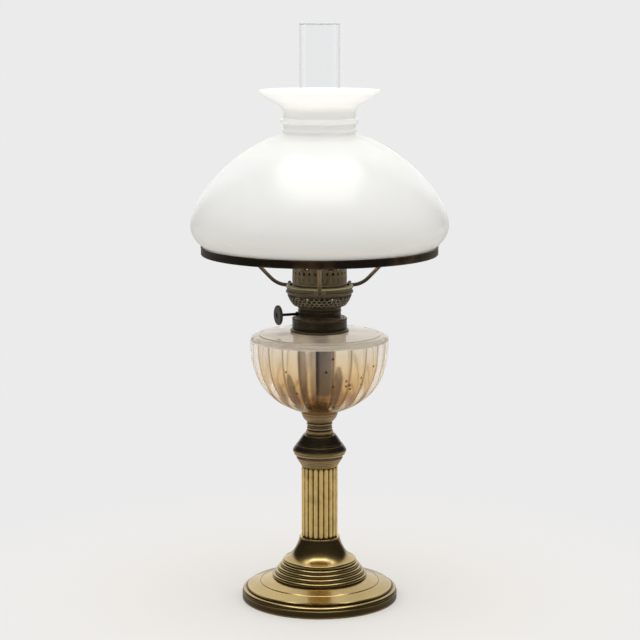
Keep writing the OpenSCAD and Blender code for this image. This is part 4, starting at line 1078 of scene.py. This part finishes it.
def make_shade():
    """Lip, belly, dome, ringed neck and flared mouth as one outline, with the glass thickness inwards."""
    r, low, high = round_span("shade")
    fitter, neck, mouth, wall = 117.3, 36.6, 60.2, 3.0
    belly, dome = low + 28.1, high - 48.6
    root = (neck + 15.4, dome)
    lower = cubic((fitter, low + 6.6), (fitter + 5.2, low + 11.6), (r, low + 17.1), (r, belly), 14)
    upper = (r, belly), (r, belly + 21.5), (r - 28.5, dome - 23), root
    flare = cubic(
        (neck, high - 21.6), (neck + 0.4, high - 13.6), (mouth - 10.2, high - 13.6), (mouth, high - 1.8), 26
    )
    skin = outline(
        (fitter - 0.6, low), (fitter, low + 0.8), lower, cubic(*upper, 60)[1:],
        cubic(root, (neck + 7, dome + 3.4), (neck, dome + 3.4), (neck, dome + 7.2), 12)[1:],
        arc((neck - 0.6, dome + 9), 1.7, -60, 60, 8), (neck, dome + 11.2), (neck, dome + 15.2),
        arc((neck + 0.2, high - 30.4), 3, -90, 90, 14), flare,
    )
    lining = outline(
        (fitter - wall, low + 0.4), (fitter - wall, low + 6.6), inset(lower, wall),
        inset(cubic(*upper, 40), wall)[1:], (neck - wall + 2, dome + 2.2), (neck - wall, dome + 6),
        (neck - wall, high - 21.8), inset(flare, wall),
    )
    lip = arc((mouth - 1.1, high - 1.0), 1.0, -20, 150, 6)
    profile = outline(skin[:-1], lip, lining[::-1][1:])
    turned("shade_blown", profile, "shade", "shade", "opal_glass", 3.0)


def make_chimney():
    """Wide base, drawn-in waist and straight top, with the glass thickness inwards."""
    r, low, high = round_span("chimney")
    waist, tube, wall, draw = 17.5, 20.3, 1.9, low + 38
    skin = outline(
        (r, low), cubic((r, draw), (r, draw + 14), (waist, draw + 10), (waist, draw + 24)),
        cubic((waist, draw + 25), (waist, draw + 40), (tube, draw + 46), (tube, draw + 60)),
        (tube, high - 0.6),
    )
    lip = arc((tube - 0.5 * wall, high - 0.5 * wall), 0.5 * wall, 0, 180, 10)
    profile = outline(skin, lip, inset(skin, wall)[::-1])
    turned("chimney_blown", profile, "chimney", "chimney", "clear_glass", 6.0, 160)


# Stage

def set_camera(stage, front):
    """Camera at the photograph's angle, turned to the height looked at."""
    sensor, focal, shift = 36.0, 112.5, 0.000625
    lens = bpy.data.cameras.new("camera")
    lens.sensor_width = sensor
    lens.lens = focal
    lens.shift_x = shift
    camera = add_object("camera", lens)
    drop = np.radians(stage.camera_drop)
    away = np.cos(drop) * front + [0, 0, np.sin(drop)]
    camera.location = stage.camera_reach * away + [0, 0, stage.look_height]
    camera.rotation_euler = (np.pi / 2 - drop, 0, np.radians(stage.camera_angle))
    bpy.context.scene.camera = camera


def set_world(stage, front):
    """White sweep behind and beside the lamp, a soft ceiling, and a dark room on the camera's side."""
    world = bpy.data.worlds.new("studio")
    bpy.context.scene.world = world
    world.use_nodes = True
    net = Net(world.node_tree)
    way = net.place("Generated")
    facing = net.measure("DOT_PRODUCT", way, front)
    height = net.split(way)[2]
    sweep = net.mix(net.spread(height, 0.2, 0.65), (0.98, 0.98, 0.96), (0.9, 0.9, 0.88))
    # The dark room reaches further round low down, where the table ends
    edge = net.maths("SUBTRACT", facing, net.spread(height, -0.1, 0.9, -0.9, -0.45))
    room = net.times(net.spread(edge, -0.08, 0.06), net.spread(height, 0.96, 0.86))
    dusk = net.mix(net.spread(height, 0.6, 0.92), (0.025, 0.023, 0.02), (0.22, 0.19, 0.14))
    ceiling = net.spread(height, 0.83, 0.96)
    mirrored = net.mix(ceiling, net.mix(room, sweep, dusk), (2.3, 2.25, 2.15))
    bounce = net.mix(net.spread(height, -0.25, 0.5), (0.35, 0.35, 0.33), (1.13, 1.13, 1.1))
    soft = net.mix(net.spread(facing, 1.0, -1.0, 0.0, 0.3), bounce, BLACK)
    glossy, shown = net.rays()
    level = stage.backdrop
    seen = net.mix(shown, net.mix(glossy, soft, mirrored), (level, level, 1.005 * level))
    net.fill(world.node_tree.nodes["Background"], {"Color": seen, "Strength": 1.0})


def lay_floor(stage, front):
    """Pale floor: its own soft shadow near the lamp, the backdrop's colour further out."""
    reach = 6.0
    mesh = bpy.data.meshes.new("floor")
    corners = reach * np.array([[-1, -1, 0], [1, -1, 0], [1, 1, 0], [-1, 1, 0]])
    mesh.from_pydata(corners, [], [[0, 1, 2, 3]])
    floor = add_object("floor", mesh)
    material, net, shader = new_material("pale floor")
    net.fill(shader, {"Base Color": (0.8, 0.765, 0.72), "Roughness": 0.6, "Specular IOR Level": 0.1})
    glossy, shown = net.rays()
    place = net.place()
    share = net.times(net.spread(net.measure("LENGTH", place), 0.08, 0.55, 0.35, 1.0), shown)
    # In the metal the floor is dark on the camera's side, where the white sweep ends
    dim = net.spread(net.measure("DOT_PRODUCT", place, front), -0.05, 0.2, 0.5, 0.12)
    # Rays through glass count as glossy too, and see the floor as the camera does
    in_metal = net.maths("MINIMUM", glossy, net.maths("SUBTRACT", 1.0, shown))
    surface = shader.outputs[0]
    glows = ((share, (1, 1, 1.005), stage.backdrop), (in_metal, (1, 0.98, 0.95), dim))
    for factor, colour, strength in glows:
        glow = net.node("Emission", {"Color": colour, "Strength": strength}).outputs[0]
        surface = net.node("MixShader", {0: factor, 1: surface, 2: glow}).outputs[0]
    net.fill(net.tree.nodes["Material Output"], {"Surface": surface})
    mesh.materials.append(material)


def add_softbox(name, offset, size, power, mirrored):
    """Square area light at an offset from the lamp's middle, turned to it."""
    light = bpy.data.lights.new(name, "AREA")
    light.size = size
    light.energy = power
    box = add_object(name, light)
    box.visible_glossy = mirrored
    box.location = offset + [0, 0, MIDDLE]
    flat = np.hypot(offset[0], offset[1])
    box.rotation_euler = (np.arctan2(flat, offset[2]), 0, np.arctan2(offset[1], offset[0]) + np.pi / 2)


# Operators

class LAMP_OT_stand(bpy.types.Operator):
    """Turned brass pieces of the stand: foot, bell, capital, knop and cup"""

    bl_idname = "lamp.make_stand"
    bl_label = "Turned stand"

    def execute(self, context):
        for make in (make_foot, make_bell, make_capital, make_knop, make_cup):
            make()
        return {"FINISHED"}


class LAMP_OT_column(bpy.types.Operator):
    """Reeded column with rounded reed ends"""

    bl_idname = "lamp.make_column"
    bl_label = "Reeded column"

    def execute(self, context):
        make_column()
        return {"FINISHED"}


class LAMP_OT_font(bpy.types.Operator):
    """Pressed glass font: lobed outside, smooth and stained inside"""

    bl_idname = "lamp.make_font"
    bl_label = "Glass font"

    def execute(self, context):
        make_font()
        return {"FINISHED"}


class LAMP_OT_burner(bpy.types.Operator):
    """Turned sheet-brass pieces of the burner: collar, base and rim"""

    bl_idname = "lamp.make_burner"
    bl_label = "Burner"

    def execute(self, context):
        for make in (make_collar, make_base, make_rim):
            make()
        return {"FINISHED"}


class LAMP_OT_basket(bpy.types.Operator):
    """Perforated burner basket"""

    bl_idname = "lamp.make_basket"
    bl_label = "Perforated basket"

    def execute(self, context):
        make_basket()
        return {"FINISHED"}


class LAMP_OT_gallery(bpy.types.Operator):
    """Gallery: beaded wall with windows between spring fingers"""

    bl_idname = "lamp.make_gallery"
    bl_label = "Gallery"

    def execute(self, context):
        make_gallery()
        return {"FINISHED"}


class LAMP_OT_wick_drive(bpy.types.Operator):
    """Wick shaft and milled knob"""

    bl_idname = "lamp.make_wick_drive"
    bl_label = "Wick drive"

    def execute(self, context):
        make_wick_drive()
        return {"FINISHED"}


class LAMP_OT_wick(bpy.types.Operator):
    """Woven cotton wick with its slit"""

    bl_idname = "lamp.make_wick"
    bl_label = "Wick"

    def execute(self, context):
        make_wick()
        return {"FINISHED"}


class LAMP_OT_holder(bpy.types.Operator):
    """Shade holder: hoop, bent arms and shade ring"""

    bl_idname = "lamp.make_holder"
    bl_label = "Shade holder"

    def execute(self, context):
        make_hoop()
        make_ring()
        for side, turn in ARMS:
            make_arm(side, np.radians(turn))
        return {"FINISHED"}


class LAMP_OT_shade(bpy.types.Operator):
    """Opal glass shade"""

    bl_idname = "lamp.make_shade"
    bl_label = "Opal shade"

    def execute(self, context):
        make_shade()
        return {"FINISHED"}


class LAMP_OT_chimney(bpy.types.Operator):
    """Blown glass chimney"""

    bl_idname = "lamp.make_chimney"
    bl_label = "Chimney"

    def execute(self, context):
        make_chimney()
        return {"FINISHED"}


class LAMP_OT_inner_finishes(bpy.types.Operator):
    """Finishes of the pieces that keep their solid: ballast, rod, plaster, tubes, bush, rivets"""

    bl_idname = "lamp.finish_inner_pieces"
    bl_label = "Inner pieces"

    def execute(self, context):
        for part in frame["record"]["subparts"]:
            node, slot = frame["nodes"][part["node"]], part["material_slot"]
            if slot in INNER_LOOKS and not node.hide_render:
                look = "cast_brass" if part["node"] == "arm_rosettes" else INNER_LOOKS[slot]
                node.data.materials.clear()
                node.data.materials.append(finish(look))
        return {"FINISHED"}


class LAMP_OT_stage(bpy.types.Operator):
    """Pale floor, soft studio light and the camera"""

    bl_idname = "lamp.set_stage"
    bl_label = "Stage"

    def execute(self, context):
        stage = context.scene.lamp_stage
        context.scene.view_settings.view_transform = "Standard"
        a = np.radians(stage.camera_angle)
        front = np.array([np.sin(a), -np.cos(a), 0.0])
        side = np.array([np.cos(a), np.sin(a), 0.0])
        set_camera(stage, front)
        set_world(stage, front)
        lay_floor(stage, front)
        add_softbox("top", 0.15 * front + [0, 0, 1.7], 1.5, stage.top_light, True)
        for name, way in (("left", -side), ("right", side)):
            add_softbox(name, 1.5 * way - 0.5 * front + [0, 0, 0.5], 0.9, stage.side_light, False)
        return {"FINISHED"}


OPERATORS = (
    LAMP_OT_stand, LAMP_OT_column, LAMP_OT_font, LAMP_OT_burner, LAMP_OT_basket, LAMP_OT_gallery,
    LAMP_OT_wick_drive, LAMP_OT_wick, LAMP_OT_holder, LAMP_OT_shade, LAMP_OT_chimney,
    LAMP_OT_inner_finishes, LAMP_OT_stage,
)


class LAMP_PT_panel(bpy.types.Panel):
    """Lists the lamp's pieces and settings"""

    bl_idname = "LAMP_PT_panel"
    bl_label = "Kerosene lamp"
    bl_space_type = "VIEW_3D"
    bl_region_type = "UI"
    bl_category = "Lamp"

    def draw(self, context):
        for operator in OPERATORS:
            self.layout.operator(operator.bl_idname)
        for settings in (context.scene.lamp_finish, context.scene.lamp_mesh, context.scene.lamp_stage):
            box = self.layout.box()
            for key in settings.__annotations__:
                box.prop(settings, key)


CLASSES = (LampFinish, LampMesh, LampStage, *OPERATORS, LAMP_PT_panel)


def register():
    for item in CLASSES:
        bpy.utils.register_class(item)
    bpy.types.Scene.lamp_finish = PointerProperty(type=LampFinish)
    bpy.types.Scene.lamp_mesh = PointerProperty(type=LampMesh)
    bpy.types.Scene.lamp_stage = PointerProperty(type=LampStage)


def unregister():
    for name in ("lamp_finish", "lamp_mesh", "lamp_stage"):
        delattr(bpy.types.Scene, name)
    for item in reversed(CLASSES):
        bpy.utils.unregister_class(item)


def main():
    register()
    for operator in OPERATORS:
        family, call = operator.bl_idname.split(".")
        getattr(getattr(bpy.ops, family), call)()


if __name__ == "__main__":
    main()
